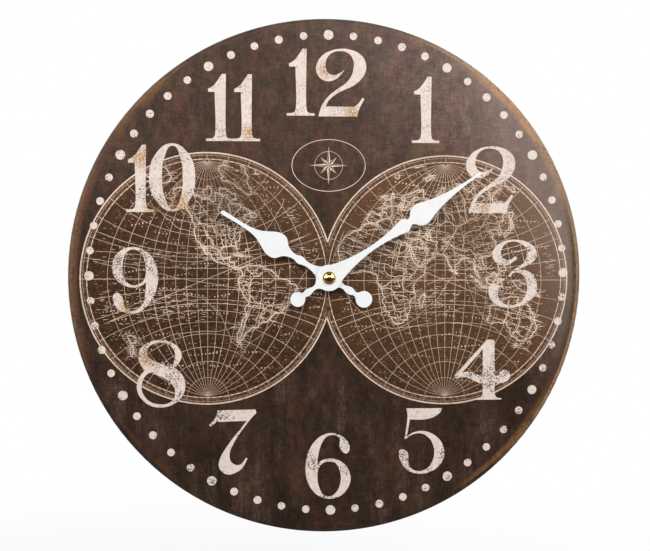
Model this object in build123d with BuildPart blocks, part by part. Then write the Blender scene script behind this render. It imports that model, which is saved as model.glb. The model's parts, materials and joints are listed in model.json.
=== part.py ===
from build123d import *
import os
from math import cos, radians, sin

# Round printed wall clock with two hands and a battery quartz movement. Millimetres.
# +Z is up, towards twelve o'clock, and the dial faces -Y. The origin is where the axis of the hands
# meets the wall. A depth is a distance in front of the wall, so a point at depth d has Y = -d.

# Dial
dial_r = 170.0
board_t = 8.0
edge_r = 3.3
print_t = 0.25

# Fixings on the axis, from the case to the hands
bush_r = 4.0
bush_bore_r = 2.55
bush_proud = 0.8
bush_flange_r = 6.0
bush_flange_t = 0.8
board_hole_gap = 0.3
hanger_t = 1.0
rubber_r = 9.0
rubber_t = 1.0
washer_r = 7.5
washer_t = 0.6
nut_flats = 11.0
nut_t = 2.2
nut_chamfer = 0.5

# Hands
hand_t = 0.5
hand_gap = 0.4
hand_space = 1.9
collet_r = 3.4
collet_t = 1.3
hour_angle = 301.7
minute_angle = 55.5
minute_boss_r = 8.6
hour_boss_r = 8.2
stem_r = 1.4
cap_base_r = 4.1
cap_base_t = 0.7
cap_side_r = 3.7
cap_side_t = 1.2
cap_dome_h = 2.0
cap_skin = 0.9

# Running and seating clearances, on the radius
run = 0.05
seat = 0.05
shake = 0.15

# Movement case and its cell
wall = 1.3
cover_t = 1.4
case_corner = 4.0
case_chamfer = 0.7
cell_r = 7.25
cell_len = 50.5
cell_chamfer = 0.5
nub_r = 2.75
nub_len = 1.5
cell_gap = 0.3
cell_setback = 0.25
contact_room = 1.45
strip_t = 0.3
strip_w = 4.0
strip_slot = 0.8
dimple_r = 2.4
dimple_taper = 35.0
contact_gap = 0.1
bay_wall = 1.0
notch_r = 8.0
axis_over_bay = 10.6
axis_to_top = 26.7
lip_t = 1.0
lip_h = 2.0
lip_gap = 0.1
snap_w = 6.0
snap_reach = 0.9
snap_t = 1.0
snap_gap = 0.2
snap_span = 20.0

# Wheel train: teeth, modules and thicknesses
minute_pinion_teeth = 12
minute_wheel_teeth = 36
setting_teeth = 12
hour_pinion_teeth = 10
hour_wheel_teeth = 40
motion_module = 0.4
rotor_teeth = 8
fifth_wheel_teeth = 48
rotor_module = 0.22
fifth_pinion_teeth = 12
second_wheel_teeth = 60
second_module = 0.25
second_pinion_teeth = 8
third_wheel_teeth = 60
third_pinion_teeth = 8
centre_wheel_teeth = 64
centre_module = 0.28
minute_wheel_bearing = 0.0
setting_bearing = 50.0
fifth_bearing = 60.0
rotor_bearing = 80.0
third_bearing = 130.0
second_wheel_t = 1.0
fifth_wheel_t = 0.8
third_wheel_t = 0.8
plate_t = 1.2
centre_wheel_t = 0.9
minute_wheel_t = 1.0
hour_wheel_t = 1.1
level_gap = 0.7
tooth_lap = 0.2

# Tooth forms: heights in modules, half widths in shares of the pitch
wheel_dedendum = 1.3
wheel_addendum = 0.95
wheel_root_half = 0.29
wheel_tip_half = 0.12
leaf_dedendum = 1.3
leaf_addendum = 0.6
leaf_root_half = 0.15
leaf_pitch_half = 0.18
leaf_tip_half = 0.08

# Shafts, pipes and pivots
arbor_r = 0.4
second_arbor_r = 0.55
arbor_pass = 0.2
minute_pipe_r = 1.7
hour_pipe_r = bush_bore_r - run
stud_r = 0.8
stud_boss_r = 1.4
pivot_boss_r = 1.2
pivot_boss_t = 1.0
pivot_skin = 0.5
pivot_deep = 1.2
clutch_r = 2.8
clutch_t = 0.4

# Setting knob
shaft_r = 0.9
knob_r = 5.0
knob_ribs = 18
knob_rib_h = 0.35
knob_rib_root_half = 0.3
knob_rib_tip_half = 0.2
knob_gap = 0.5
knob_back = 0.3
knob_rim = 1.2
knob_dish = 0.5
cup_wall = 1.0
cup_depth = 2.8

# Plate, posts and motor
plate_margin = 2.2
plate_lift = 0.8
plate_corner = 2.0
post_r = 1.5
post_inset = 2.4
stator_t = 1.0
stator_margin = 3.9
stator_bore_r = 2.9
stator_leg = 4.0
magnet_r = 2.4
magnet_t = 1.5
core_t = 1.0
core_w = 2.4
winding_r = 3.2
winding_half = 8.0
flange_r = 3.6
flange_t = 1.0
spool_r = 1.8
coil_gap = 0.8

# Circuit board
pcb_t = 0.8
pcb_gap = 0.3
pcb_w = 16.0
pcb_h = 9.0
chip_r = 2.6
chip_t = 1.0
chip_taper = 20.0
crystal_r = 1.0
crystal_len = 6.0

# Hanger
hanger_w = 16.0
hanger_end_flat = 1.0
hanger_setback = 2.5
hanger_clear = 2.5
hanger_bend_r = 2.0
hanger_rise = 19.0
keyhole_r = 4.0
keyhole_up = 7.5
nail_slot_w = 4.0
nail_slot_len = 7.0

# Case inside, across and up
inner_half = cell_len / 2 + contact_room
case_half = inner_half + wall
chamber_floor = -axis_over_bay
bay_top = chamber_floor - bay_wall
bay_h = 2 * (cell_r + cell_gap)
bay_bottom = bay_top - bay_h
case_bottom = bay_bottom - wall
case_top = axis_to_top + wall
case_h = case_top - case_bottom
case_mid = (case_top + case_bottom) / 2
inner_corner = case_corner - wall
cell_z = bay_bottom + cell_gap + cell_r

# Levels of the train, from the cover to the front wall
second_d = cover_t + pivot_boss_t + shake
fifth_d = second_d + second_wheel_t + level_gap
third_d = fifth_d + fifth_wheel_t + level_gap
plate_d = third_d + third_wheel_t + level_gap
plate_front = plate_d + plate_t
centre_d = plate_front + level_gap
minute_wheel_d = centre_d + centre_wheel_t + level_gap
hour_wheel_d = minute_wheel_d + minute_wheel_t + level_gap
hour_wheel_front = hour_wheel_d + hour_wheel_t
chamber_front = max(hour_wheel_front + level_gap + bush_flange_t, cell_setback + 2 * cell_r + cell_gap)
case_front_d = chamber_front + wall
cell_d = chamber_front - cell_gap - cell_r

# Levels in front of the case
rubber_d = case_front_d + hanger_t
board_d = rubber_d + rubber_t
board_front = board_d + board_t
print_front = board_front + print_t
nut_d = print_front + washer_t
bush_front = nut_d + nut_t + bush_proud
collet_d = bush_front + hand_gap
hour_hand_d = collet_d + collet_t
minute_hand_d = hour_hand_d + hand_t + hand_space
cap_d = minute_hand_d + hand_t
stem_front = cap_d + cap_base_t + cap_side_t + cap_dome_h - cap_skin

# Places of the train in the face view, as (X, Z)
axis_at = (0.0, 0.0)


def from_point(point, distance, bearing):
    turn = radians(bearing)
    return (point[0] + distance * cos(turn), point[1] + distance * sin(turn))


def centres(module, teeth, other_teeth):
    return module * (teeth + other_teeth) / 2


minute_centres = centres(motion_module, minute_pinion_teeth, minute_wheel_teeth)
hour_module = 2 * minute_centres / (hour_pinion_teeth + hour_wheel_teeth)
setting_centres = centres(motion_module, minute_wheel_teeth, setting_teeth)
fifth_centres = centres(second_module, fifth_pinion_teeth, second_wheel_teeth)
rotor_centres = centres(rotor_module, rotor_teeth, fifth_wheel_teeth)
third_centres = centres(centre_module, third_pinion_teeth, centre_wheel_teeth)
third_module = 2 * third_centres / (second_pinion_teeth + third_wheel_teeth)
minute_wheel_at = from_point(axis_at, minute_centres, minute_wheel_bearing)
setting_at = from_point(minute_wheel_at, setting_centres, setting_bearing)
fifth_at = from_point(axis_at, fifth_centres, fifth_bearing)
rotor_at = from_point(fifth_at, rotor_centres, rotor_bearing)
third_at = from_point(axis_at, third_centres, third_bearing)

# Cover lip and the snaps that hold it in the case
lip_low = chamber_floor + lip_gap
lip_high = axis_to_top - lip_gap
lip_end = cover_t + lip_h
snap_middles = [(lip_low + lip_high + sign * snap_span) / 2 for sign in (-1, 1)]

# Motor and plate places that follow from the train
coil_x = rotor_at[0]
coil_z = axis_to_top - strip_t - coil_gap - flange_r
core_half = winding_half + flange_t + seat + stator_leg + seat
leg_x = core_half - stator_leg / 2
stator_bottom = rotor_at[1] - stator_margin
core_d = plate_front + stator_t
coil_d = core_d + core_t / 2
plate_half = inner_half - plate_margin
plate_bottom = chamber_floor + plate_lift
plate_top = coil_z - flange_r - coil_gap
post_x = plate_half - post_inset
post_low = plate_bottom + post_inset
post_high = plate_top - post_inset
pcb_d = core_d
pcb_left = -inner_half + strip_t + pcb_gap
pcb_top = axis_to_top - strip_t - pcb_gap
pcb_mid = (pcb_left + pcb_w / 2, pcb_top - pcb_h / 2)


# Planes and shared shapes
FRONT = (0, -1, 0)
SIDE = Plane(origin=(0, 0, 0), x_dir=(1, 0, 0), z_dir=(0, 0, -1))


def at(depth):
    """A face-view plane: X to the right, Z up, drawn towards the front."""
    return Plane.XZ.offset(depth)


def rod(radius, start, end, centre=axis_at, mode=Mode.ADD):
    """A round bar, or a round hole, along the depth."""
    with BuildSketch(at(start)) as section:
        with Locations(centre):
            Circle(radius)
    extrude(section.sketch, amount=end - start, dir=FRONT, mode=mode)


def toothed(teeth, flank, phase, start, end, centre=axis_at):
    """A toothed disc. flank lists (radius, half width as a share of the pitch) from root to tip."""
    pitch = 360 / teeth
    corners = []
    for tooth in range(teeth):
        middle = phase + tooth * pitch
        corners += [from_point(centre, radius, middle - share * pitch) for radius, share in flank]
        corners += [from_point(centre, radius, middle + share * pitch) for radius, share in flank[::-1]]
    with BuildSketch(at(start)) as outline:
        with BuildLine():
            Polyline(*corners, close=True)
        make_face()
    extrude(outline.sketch, amount=end - start, dir=FRONT)


def wheel(teeth, module, phase, start, end, centre=axis_at):
    """A wheel of many teeth with straight flanks."""
    root = (module * (teeth / 2 - wheel_dedendum), wheel_root_half)
    tip = (module * (teeth / 2 + wheel_addendum), wheel_tip_half)
    toothed(teeth, [root, tip], phase, start, end, centre)


def pinion(leaves, module, phase, start, end, centre=axis_at):
    """A pinion of few leaves with radial flanks and narrowed tips."""
    root = (module * (leaves / 2 - leaf_dedendum), leaf_root_half)
    bend = (module * leaves / 2, leaf_pitch_half)
    tip = (module * (leaves / 2 + leaf_addendum), leaf_tip_half)
    toothed(leaves, [root, bend, tip], phase, start, end, centre)


def meshed(teeth, phase, bearing, other_teeth):
    """The phase that puts a gap of the other gear, at this bearing, on a tooth of the first."""
    pitch = 360 / teeth
    other_pitch = 360 / other_teeth
    share = 0.5 - (bearing - phase) / pitch
    return bearing + 180 - share * other_pitch


def hand_plane(angle, depth):
    """A plane whose X runs along a hand that points at this clock angle."""
    turn = radians(angle)
    return Plane(origin=(0, -depth, 0), x_dir=(sin(turn), 0, cos(turn)), z_dir=FRONT)


# Printed board
with BuildPart() as dial_board:
    rod(dial_r, board_d, board_front)
    fillet(dial_board.faces().sort_by(Axis.Y)[0].edges(), edge_r)
    rod(bush_r + board_hole_gap, board_d, board_front, mode=Mode.SUBTRACT)

with BuildPart() as dial_print:
    rod(dial_r - edge_r, board_front, print_front)
    rod(bush_r + board_hole_gap, board_front, print_front, mode=Mode.SUBTRACT)

# Hands. Half outlines are (distance from the axis, half width), drawn tail to tip.
minute_tail_ball = (-24.8, 4.85)
minute_tail = [(-20.7, 2.2), (-19.4, 1.75), (-17.3, 2.25), (-13.6, 1.55), (-8.0, 3.6)]
minute_shank = [(6.0, 6.3), (12.6, 4.4), (22.6, 2.6), (34.5, 1.6), (48.5, 2.5), (56.4, 3.75), (60.6, 4.7)]
minute_neck = [(60.6, 4.7), (64.4, 2.15)]
minute_spade = [(64.4, 2.15), (66.6, 3.2), (69.4, 6.2), (74.0, 7.3), (80.3, 5.55), (92.3, 2.75),
                (104.2, 1.3), (121.0, 0.8)]
hour_tail_ball = (-27.2, 5.45)
hour_tail = [(-22.2, 2.4), (-20.2, 1.4), (-17.0, 2.4), (-12.4, 1.55), (-7.6, 3.4)]
hour_shank = [(6.0, 5.6), (8.6, 3.4), (12.4, 2.08), (16.0, 1.6), (19.6, 2.05)]
hour_collar = [(19.6, 2.05), (22.0, 2.7), (25.1, 1.9)]
hour_spade = [(25.1, 1.9), (29.9, 2.25), (33.9, 4.45), (36.8, 7.5), (41.7, 8.45), (46.7, 6.65),
              (53.5, 3.1), (60.9, 1.5), (81.0, 1.4)]


def hand_blade(plane, ball, boss_r, tail, runs):
    """A flat spade hand: a ball tail, a round boss and a mirrored outline of smooth runs."""
    with BuildSketch(plane) as blade:
        with BuildLine():
            Line((ball[0], 0), tail[0])
            Spline(*tail)
            Line(tail[-1], runs[0][0])
            for points in runs:
                if len(points) > 2:
                    Spline(*points)
                else:
                    Line(*points)
            tip = runs[-1][-1]
            Line(tip, (tip[0], 0))
            Line((tip[0], 0), (ball[0], 0))
        make_face()
        with Locations((tip[0], 0)):
            Circle(tip[1])
        mirror(about=Plane.XZ)
        with Locations((ball[0], 0)):
            Circle(ball[1])
        Circle(boss_r)
    extrude(blade.sketch, amount=hand_t, dir=FRONT)


with BuildPart() as hour_hand:
    hand_blade(hand_plane(hour_angle, hour_hand_d), hour_tail_ball, hour_boss_r, hour_tail,
               [hour_shank, hour_collar, hour_spade])
    rod(collet_r, collet_d, hour_hand_d)
    rod(hour_pipe_r + seat, collet_d, hour_hand_d + hand_t, mode=Mode.SUBTRACT)

with BuildPart() as minute_hand:
    hand_blade(hand_plane(minute_angle, minute_hand_d), minute_tail_ball, minute_boss_r, minute_tail,
               [minute_shank, minute_neck, minute_spade])
    rod(stem_r + seat, minute_hand_d, cap_d, mode=Mode.SUBTRACT)

with BuildPart() as cap_nut:
    base_top = cap_d + cap_base_t
    side_top = base_top + cap_side_t
    cap_top = side_top + cap_dome_h
    cap_dome_r = (cap_side_r**2 + cap_dome_h**2) / (2 * cap_dome_h)
    with BuildSketch(SIDE):
        with BuildLine():
            Polyline((0, cap_top), (0, stem_front + seat), (stem_r + seat, stem_front + seat),
                     (stem_r + seat, cap_d), (cap_base_r, cap_d), (cap_base_r, base_top),
                     (cap_side_r, base_top), (cap_side_r, side_top))
            RadiusArc((cap_side_r, side_top), (0, cap_top), -cap_dome_r)
        make_face()
    revolve(axis=Axis.Y)

# Fixings through the board
with BuildPart() as threaded_bush:
    rod(bush_flange_r, chamber_front - bush_flange_t, chamber_front)
    rod(bush_r, chamber_front, bush_front)
    chamfer(threaded_bush.faces().sort_by(Axis.Y)[0].edges(), nut_chamfer / 2)
    rod(bush_bore_r, chamber_front - bush_flange_t, bush_front, mode=Mode.SUBTRACT)

with BuildPart() as rubber_washer:
    rod(rubber_r, rubber_d, board_d)
    rod(bush_r + board_hole_gap, rubber_d, board_d, mode=Mode.SUBTRACT)

with BuildPart() as flat_washer:
    rod(washer_r, print_front, nut_d)
    rod(bush_r + board_hole_gap, print_front, nut_d, mode=Mode.SUBTRACT)

with BuildPart() as fixing_nut:
    with BuildSketch(at(nut_d)):
        RegularPolygon(nut_flats / 2, 6, major_radius=False)
    extrude(amount=nut_t)
    with BuildSketch(at(nut_d)):
        Circle(nut_flats / 2 + nut_chamfer)
    extrude(amount=nut_t, mode=Mode.INTERSECT)
    chamfer(fixing_nut.faces().sort_by(Axis.Y)[0].edges().filter_by(GeomType.LINE), nut_chamfer / 2)
    rod(bush_r + seat, nut_d, nut_d + nut_t, mode=Mode.SUBTRACT)

# Movement case: train chamber above, cell bay below with a finger notch, both open to the back
core_posts = [(coil_x - leg_x, coil_z), (coil_x + leg_x, coil_z)]
plate_posts = [(x, z) for x in (-post_x, post_x) for z in (post_low, post_high)]
pcb_posts = [(pcb_mid[0] + x * (pcb_w / 2 - post_r), pcb_mid[1] + x * (pcb_h / 2 - post_r)) for x in (-1, 1)]
magnet_front = core_d + magnet_t / 2
pivot_ends = [(rotor_at, magnet_front + shake), (third_at, centre_d + centre_wheel_t + level_gap)]

with BuildPart() as case_front:
    with BuildSketch(at(cover_t)):
        with Locations((0, case_mid)):
            RectangleRounded(2 * case_half, case_h, case_corner)
    extrude(amount=case_front_d - cover_t)
    chamfer(case_front.faces().sort_by(Axis.Y)[0].edges(), case_chamfer)
    with BuildSketch(at(cover_t)):
        with Locations((0, case_mid)):
            RectangleRounded(2 * inner_half, case_h - 2 * wall, inner_corner)
        with Locations((0, bay_top + bay_wall / 2)):
            Rectangle(2 * (inner_half - strip_slot), bay_wall, mode=Mode.SUBTRACT)
    extrude(amount=chamber_front - cover_t, mode=Mode.SUBTRACT)
    for centre in plate_posts:
        rod(post_r, plate_front, chamber_front, centre)
    for centre in core_posts:
        rod(post_r, core_d + core_t, chamber_front, centre)
    for centre in pcb_posts:
        rod(post_r, pcb_d + pcb_t, chamber_front, centre)
    for centre, end in pivot_ends:
        rod(pivot_boss_r, end, chamber_front, centre)
        rod(arbor_r + run, end, end + pivot_deep, centre, mode=Mode.SUBTRACT)
    rod(stud_boss_r, hour_wheel_front + tooth_lap + shake, chamber_front, minute_wheel_at)
    rod(stud_r, minute_wheel_d - tooth_lap, chamber_front, minute_wheel_at)
    rod(bush_r + seat, chamber_front, case_front_d, mode=Mode.SUBTRACT)
    for middle in snap_middles:
        with BuildSketch(at(lip_end - snap_t - snap_gap)):
            with Locations((0, middle)):
                Rectangle(2 * case_half, snap_w + 2 * snap_gap)
                Rectangle(2 * inner_half, snap_w + 2 * snap_gap, mode=Mode.SUBTRACT)
        extrude(amount=snap_t + 2 * snap_gap, mode=Mode.SUBTRACT)
    with BuildSketch(Plane.XY.offset(case_bottom)):
        with Locations((0, -cover_t)):
            Circle(notch_r)
    extrude(amount=wall, mode=Mode.SUBTRACT)

# Cover: pivot bosses inside, a lip with snaps that enters the case and a cup for the knob
cover_bottom = bay_top + lip_gap
cup_r = knob_r + knob_gap + cup_wall
pivot_start = pivot_skin + shake
rear_pivots = [(fifth_at, second_d - tooth_lap - shake), (rotor_at, fifth_d - tooth_lap - shake),
               (third_at, third_d - shake)]

with BuildPart() as rear_cover:
    with BuildSketch(at(0)):
        with Locations((0, case_mid)):
            RectangleRounded(2 * case_half, case_h, case_corner)
        with Locations((0, cover_bottom)):
            Rectangle(2 * case_half, case_h, align=(Align.CENTER, Align.MIN), mode=Mode.INTERSECT)
    extrude(amount=cover_t)
    chamfer(rear_cover.faces().sort_by(Axis.Y)[-1].edges(), case_chamfer)
    with BuildSketch(at(cover_t)):
        with Locations((0, (lip_low + lip_high) / 2)):
            RectangleRounded(2 * (inner_half - lip_gap), lip_high - lip_low, inner_corner)
            RectangleRounded(2 * (inner_half - lip_gap - lip_t), lip_high - lip_low - 2 * lip_t,
                             inner_corner - lip_t, mode=Mode.SUBTRACT)
    extrude(amount=lip_h)
    lip_face = inner_half - lip_gap
    for middle in snap_middles:
        for side in (-1, 1):
            with BuildSketch(Plane.XY.offset(middle - snap_w / 2)):
                with BuildLine():
                    Polyline((side * lip_face, -lip_end), (side * lip_face, snap_t - lip_end),
                             (side * (lip_face + snap_reach), snap_t - lip_end), close=True)
                make_face()
            extrude(amount=snap_w)
    rod(pivot_boss_r, cover_t, second_d - shake)
    rod(second_arbor_r + run, pivot_skin, second_d - shake, mode=Mode.SUBTRACT)
    for centre, end in rear_pivots:
        rod(pivot_boss_r, cover_t, end, centre)
        rod(arbor_r + run, pivot_skin, end, centre, mode=Mode.SUBTRACT)
    rod(cup_r, cover_t, cup_depth + cup_wall, setting_at)
    rod(knob_r + knob_gap, 0, cup_depth, setting_at, mode=Mode.SUBTRACT)
    rod(shaft_r + run, cup_depth, cup_depth + cup_wall, setting_at, mode=Mode.SUBTRACT)

rotor_pass_r = rotor_module * (rotor_teeth / 2 + leaf_addendum) + arbor_pass

with BuildPart() as middle_plate:
    with BuildSketch(at(plate_d)):
        with Locations((0, (plate_top + plate_bottom) / 2)):
            RectangleRounded(2 * plate_half, plate_top - plate_bottom, plate_corner)
    extrude(amount=plate_t)
    rod(second_arbor_r + arbor_pass, plate_d, plate_front, mode=Mode.SUBTRACT)
    rod(arbor_r + run, plate_d, plate_front, fifth_at, mode=Mode.SUBTRACT)
    rod(arbor_r + run, plate_d, plate_front, third_at, mode=Mode.SUBTRACT)
    rod(shaft_r + run, plate_d, plate_front, setting_at, mode=Mode.SUBTRACT)
    rod(rotor_pass_r, plate_d, plate_front, rotor_at, mode=Mode.SUBTRACT)

# Drive train, from the rotor to the centre wheel
second_pinion_phase = meshed(third_wheel_teeth, 0, third_bearing + 180, second_pinion_teeth)
fifth_pinion_phase = meshed(second_wheel_teeth, 0, fifth_bearing, fifth_pinion_teeth)
rotor_phase = meshed(fifth_wheel_teeth, 0, rotor_bearing, rotor_teeth)
third_pinion_phase = meshed(centre_wheel_teeth, 0, third_bearing, third_pinion_teeth)

with BuildPart() as rotor_pinion:
    rod(arbor_r, pivot_start, magnet_front + pivot_deep, rotor_at)
    pinion(rotor_teeth, rotor_module, rotor_phase, fifth_d - tooth_lap,
           fifth_d + fifth_wheel_t + tooth_lap, rotor_at)

with BuildPart() as rotor_magnet:
    rod(magnet_r, magnet_front - magnet_t, magnet_front, rotor_at)
    rod(arbor_r + seat, magnet_front - magnet_t, magnet_front, rotor_at, mode=Mode.SUBTRACT)

with BuildPart() as fifth_wheel:
    rod(arbor_r, pivot_start, plate_front - shake, fifth_at)
    pinion(fifth_pinion_teeth, second_module, fifth_pinion_phase, second_d - tooth_lap, fifth_d, fifth_at)
    wheel(fifth_wheel_teeth, rotor_module, 0, fifth_d, fifth_d + fifth_wheel_t, fifth_at)

with BuildPart() as second_wheel:
    rod(second_arbor_r, pivot_start, hour_wheel_front)
    wheel(second_wheel_teeth, second_module, 0, second_d, second_d + second_wheel_t)
    pinion(second_pinion_teeth, third_module, second_pinion_phase, third_d - tooth_lap,
           third_d + third_wheel_t + tooth_lap)

with BuildPart() as third_wheel:
    rod(arbor_r, pivot_start, centre_d + centre_wheel_t + level_gap + pivot_deep - shake, third_at)
    wheel(third_wheel_teeth, third_module, 0, third_d, third_d + third_wheel_t, third_at)
    pinion(third_pinion_teeth, centre_module, third_pinion_phase, centre_d - tooth_lap,
           centre_d + centre_wheel_t + tooth_lap, third_at)

with BuildPart() as centre_wheel:
    wheel(centre_wheel_teeth, centre_module, 0, centre_d, centre_d + centre_wheel_t)
    rod(clutch_r, centre_d + centre_wheel_t, centre_d + centre_wheel_t + clutch_t)
    rod(minute_pipe_r + run, centre_d, centre_d + centre_wheel_t + clutch_t, mode=Mode.SUBTRACT)

# Motion work: minute pipe, minute wheel, hour wheel and the setting knob
minute_pinion_phase = meshed(minute_wheel_teeth, 0, minute_wheel_bearing + 180, minute_pinion_teeth)
hour_pinion_phase = meshed(hour_wheel_teeth, 0, minute_wheel_bearing, hour_pinion_teeth)
setting_phase = meshed(minute_wheel_teeth, 0, setting_bearing, setting_teeth)
minute_wheel_front = minute_wheel_d + minute_wheel_t

with BuildPart() as minute_pipe:
    rod(minute_pipe_r, plate_front + shake, minute_hand_d)
    pinion(minute_pinion_teeth, motion_module, minute_pinion_phase, minute_wheel_d - tooth_lap,
           minute_wheel_front + tooth_lap)
    rod(stem_r, minute_hand_d, stem_front)
    rod(second_arbor_r + run, plate_front + shake, hour_wheel_front + level_gap, mode=Mode.SUBTRACT)

with BuildPart() as minute_wheel:
    wheel(minute_wheel_teeth, motion_module, 0, minute_wheel_d, minute_wheel_front, minute_wheel_at)
    pinion(hour_pinion_teeth, hour_module, hour_pinion_phase, minute_wheel_front,
           hour_wheel_front + tooth_lap, minute_wheel_at)
    rod(stud_r + run, minute_wheel_d, hour_wheel_front + tooth_lap, minute_wheel_at, mode=Mode.SUBTRACT)

with BuildPart() as hour_wheel:
    wheel(hour_wheel_teeth, hour_module, 0, hour_wheel_d, hour_wheel_front)
    rod(hour_pipe_r, hour_wheel_front, hour_hand_d + hand_t)
    rod(minute_pipe_r + run, hour_wheel_d, hour_hand_d + hand_t, mode=Mode.SUBTRACT)

with BuildPart() as setting_knob:
    rib = [(knob_r - knob_rib_h, knob_rib_root_half), (knob_r, knob_rib_tip_half)]
    toothed(knob_ribs, rib, 0, knob_back, cup_depth - shake, setting_at)
    rod(knob_r - knob_rim, knob_back, knob_back + knob_dish, setting_at, mode=Mode.SUBTRACT)
    rod(shaft_r, cup_depth - shake, minute_wheel_d, setting_at)
    pinion(setting_teeth, motion_module, setting_phase, minute_wheel_d - tooth_lap,
           minute_wheel_front + tooth_lap, setting_at)

# Motor: stator plate, core, spool and winding
with BuildPart() as stator:
    with BuildSketch(at(plate_front)):
        with Locations((coil_x, stator_bottom)):
            Rectangle(2 * core_half, plate_top - stator_bottom, align=(Align.CENTER, Align.MIN))
        for side in (-1, 1):
            with Locations((coil_x + side * leg_x, stator_bottom)):
                Rectangle(stator_leg, coil_z + core_w - stator_bottom, align=(Align.CENTER, Align.MIN))
        with Locations(rotor_at):
            Circle(stator_bore_r, mode=Mode.SUBTRACT)
    extrude(amount=stator_t)

with BuildPart() as coil_core:
    with BuildSketch(at(core_d)):
        with Locations((coil_x, coil_z)):
            Rectangle(2 * core_half, core_w)
    extrude(amount=core_t)

spool_plane = Plane.YZ.offset(coil_x - winding_half - flange_t)
spool_at = (-coil_d, coil_z)

with BuildPart() as coil_bobbin:
    with BuildSketch(spool_plane):
        with Locations(spool_at):
            Circle(spool_r)
    extrude(amount=2 * (winding_half + flange_t))
    for flange_start in (0, 2 * winding_half + flange_t):
        with BuildSketch(spool_plane.offset(flange_start)):
            with Locations(spool_at):
                Circle(flange_r)
        extrude(amount=flange_t)
    with BuildSketch(spool_plane):
        with Locations(spool_at):
            Rectangle(core_t + 2 * seat, core_w + 2 * seat)
    extrude(amount=2 * (winding_half + flange_t), mode=Mode.SUBTRACT)

with BuildPart() as coil_winding:
    with BuildSketch(spool_plane.offset(flange_t)):
        with Locations(spool_at):
            Circle(winding_r)
            Circle(spool_r + seat, mode=Mode.SUBTRACT)
    extrude(amount=2 * winding_half)

# Circuit board and crystal
with BuildPart() as circuit_board:
    with BuildSketch(at(pcb_d)):
        with Locations(pcb_mid):
            RectangleRounded(pcb_w, pcb_h, inner_corner - strip_t - pcb_gap)
    extrude(amount=pcb_t)
    with BuildSketch(at(pcb_d + pcb_t)):
        with Locations(pcb_mid):
            Circle(chip_r)
    extrude(amount=chip_t, taper=chip_taper)

with BuildPart() as quartz_crystal:
    with BuildSketch(Plane.YZ.offset(pcb_mid[0] - crystal_len / 2)):
        with Locations((-(pcb_d - crystal_r - seat), pcb_mid[1])):
            Circle(crystal_r)
    extrude(amount=crystal_len)

# Contacts: strips on the side walls, with a pressed dimple at each end of the cell
dimple_h = contact_room - strip_t - contact_gap
strip_d = cell_d - strip_w / 2


def wall_strip(low, high, left, right):
    """A strip along the inside of the case walls, cut to a window of the face view."""
    with BuildSketch(at(strip_d)) as ring:
        with Locations((0, case_mid)):
            RectangleRounded(2 * inner_half, case_h - 2 * wall, inner_corner)
            RectangleRounded(2 * (inner_half - strip_t), case_h - 2 * wall - 2 * strip_t,
                             inner_corner - strip_t, mode=Mode.SUBTRACT)
        with Locations((left, low)):
            Rectangle(right - left, high - low, align=(Align.MIN, Align.MIN), mode=Mode.INTERSECT)
    extrude(ring.sketch, amount=strip_w, dir=FRONT)


def dimple(side):
    """A pressed dimple that faces one end of the cell: side is -1 on the left, 1 on the right."""
    with BuildSketch(Plane.YZ.offset(side * (inner_half - strip_t))) as base:
        with Locations((-cell_d, cell_z)):
            Circle(dimple_r)
    extrude(base.sketch, amount=dimple_h, dir=(-side, 0, 0), taper=dimple_taper)


with BuildPart() as contact_negative:
    wall_strip(cell_z - cell_r / 2, pcb_mid[1], -inner_half, 0)
    dimple(-1)

with BuildPart() as contact_positive:
    wall_strip(cell_z - cell_r / 2, axis_to_top, pcb_mid[0], inner_half)
    dimple(1)

# Cell
with BuildPart() as battery:
    with BuildSketch(Plane.YZ.offset(-cell_len / 2)):
        with Locations((-cell_d, cell_z)):
            Circle(cell_r)
    extrude(amount=cell_len - nub_len)
    chamfer(battery.edges().filter_by(GeomType.CIRCLE), cell_chamfer)
    with BuildSketch(Plane.YZ.offset(cell_len / 2 - nub_len)):
        with Locations((-cell_d, cell_z)):
            Circle(nub_r)
    extrude(amount=nub_len)

# Hanger: a bent steel strip clamped under the board, with a keyhole near the wall
hanger_step = case_top + hanger_clear
hanger_top = hanger_step + hanger_rise
hanger_end_r = (hanger_w - hanger_end_flat) / 2
keyhole_z = hanger_step + keyhole_up

with BuildPart() as hanger_hook:
    with BuildSketch(Plane.YZ.offset(-hanger_w / 2)):
        with BuildLine() as bend:
            FilletPolyline((-case_front_d, -hanger_w / 2), (-case_front_d, hanger_step),
                           (-hanger_setback, hanger_step), (-hanger_setback, hanger_top),
                           radius=hanger_bend_r)
            offset(amount=hanger_t, side=Side.LEFT)
        make_face()
    extrude(amount=hanger_w)
    for ends in (0, -1):
        fillet(hanger_hook.edges().filter_by(Axis.Y).group_by(Axis.Z)[ends], hanger_end_r)
    rod(bush_r + board_hole_gap, case_front_d, rubber_d, mode=Mode.SUBTRACT)
    with BuildSketch(at(hanger_setback)):
        with Locations((0, keyhole_z)):
            Circle(keyhole_r)
        with Locations((0, keyhole_z + nail_slot_len / 2)):
            SlotCenterToCenter(nail_slot_len, nail_slot_w, rotation=90)
    extrude(amount=hanger_t, mode=Mode.SUBTRACT)

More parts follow.
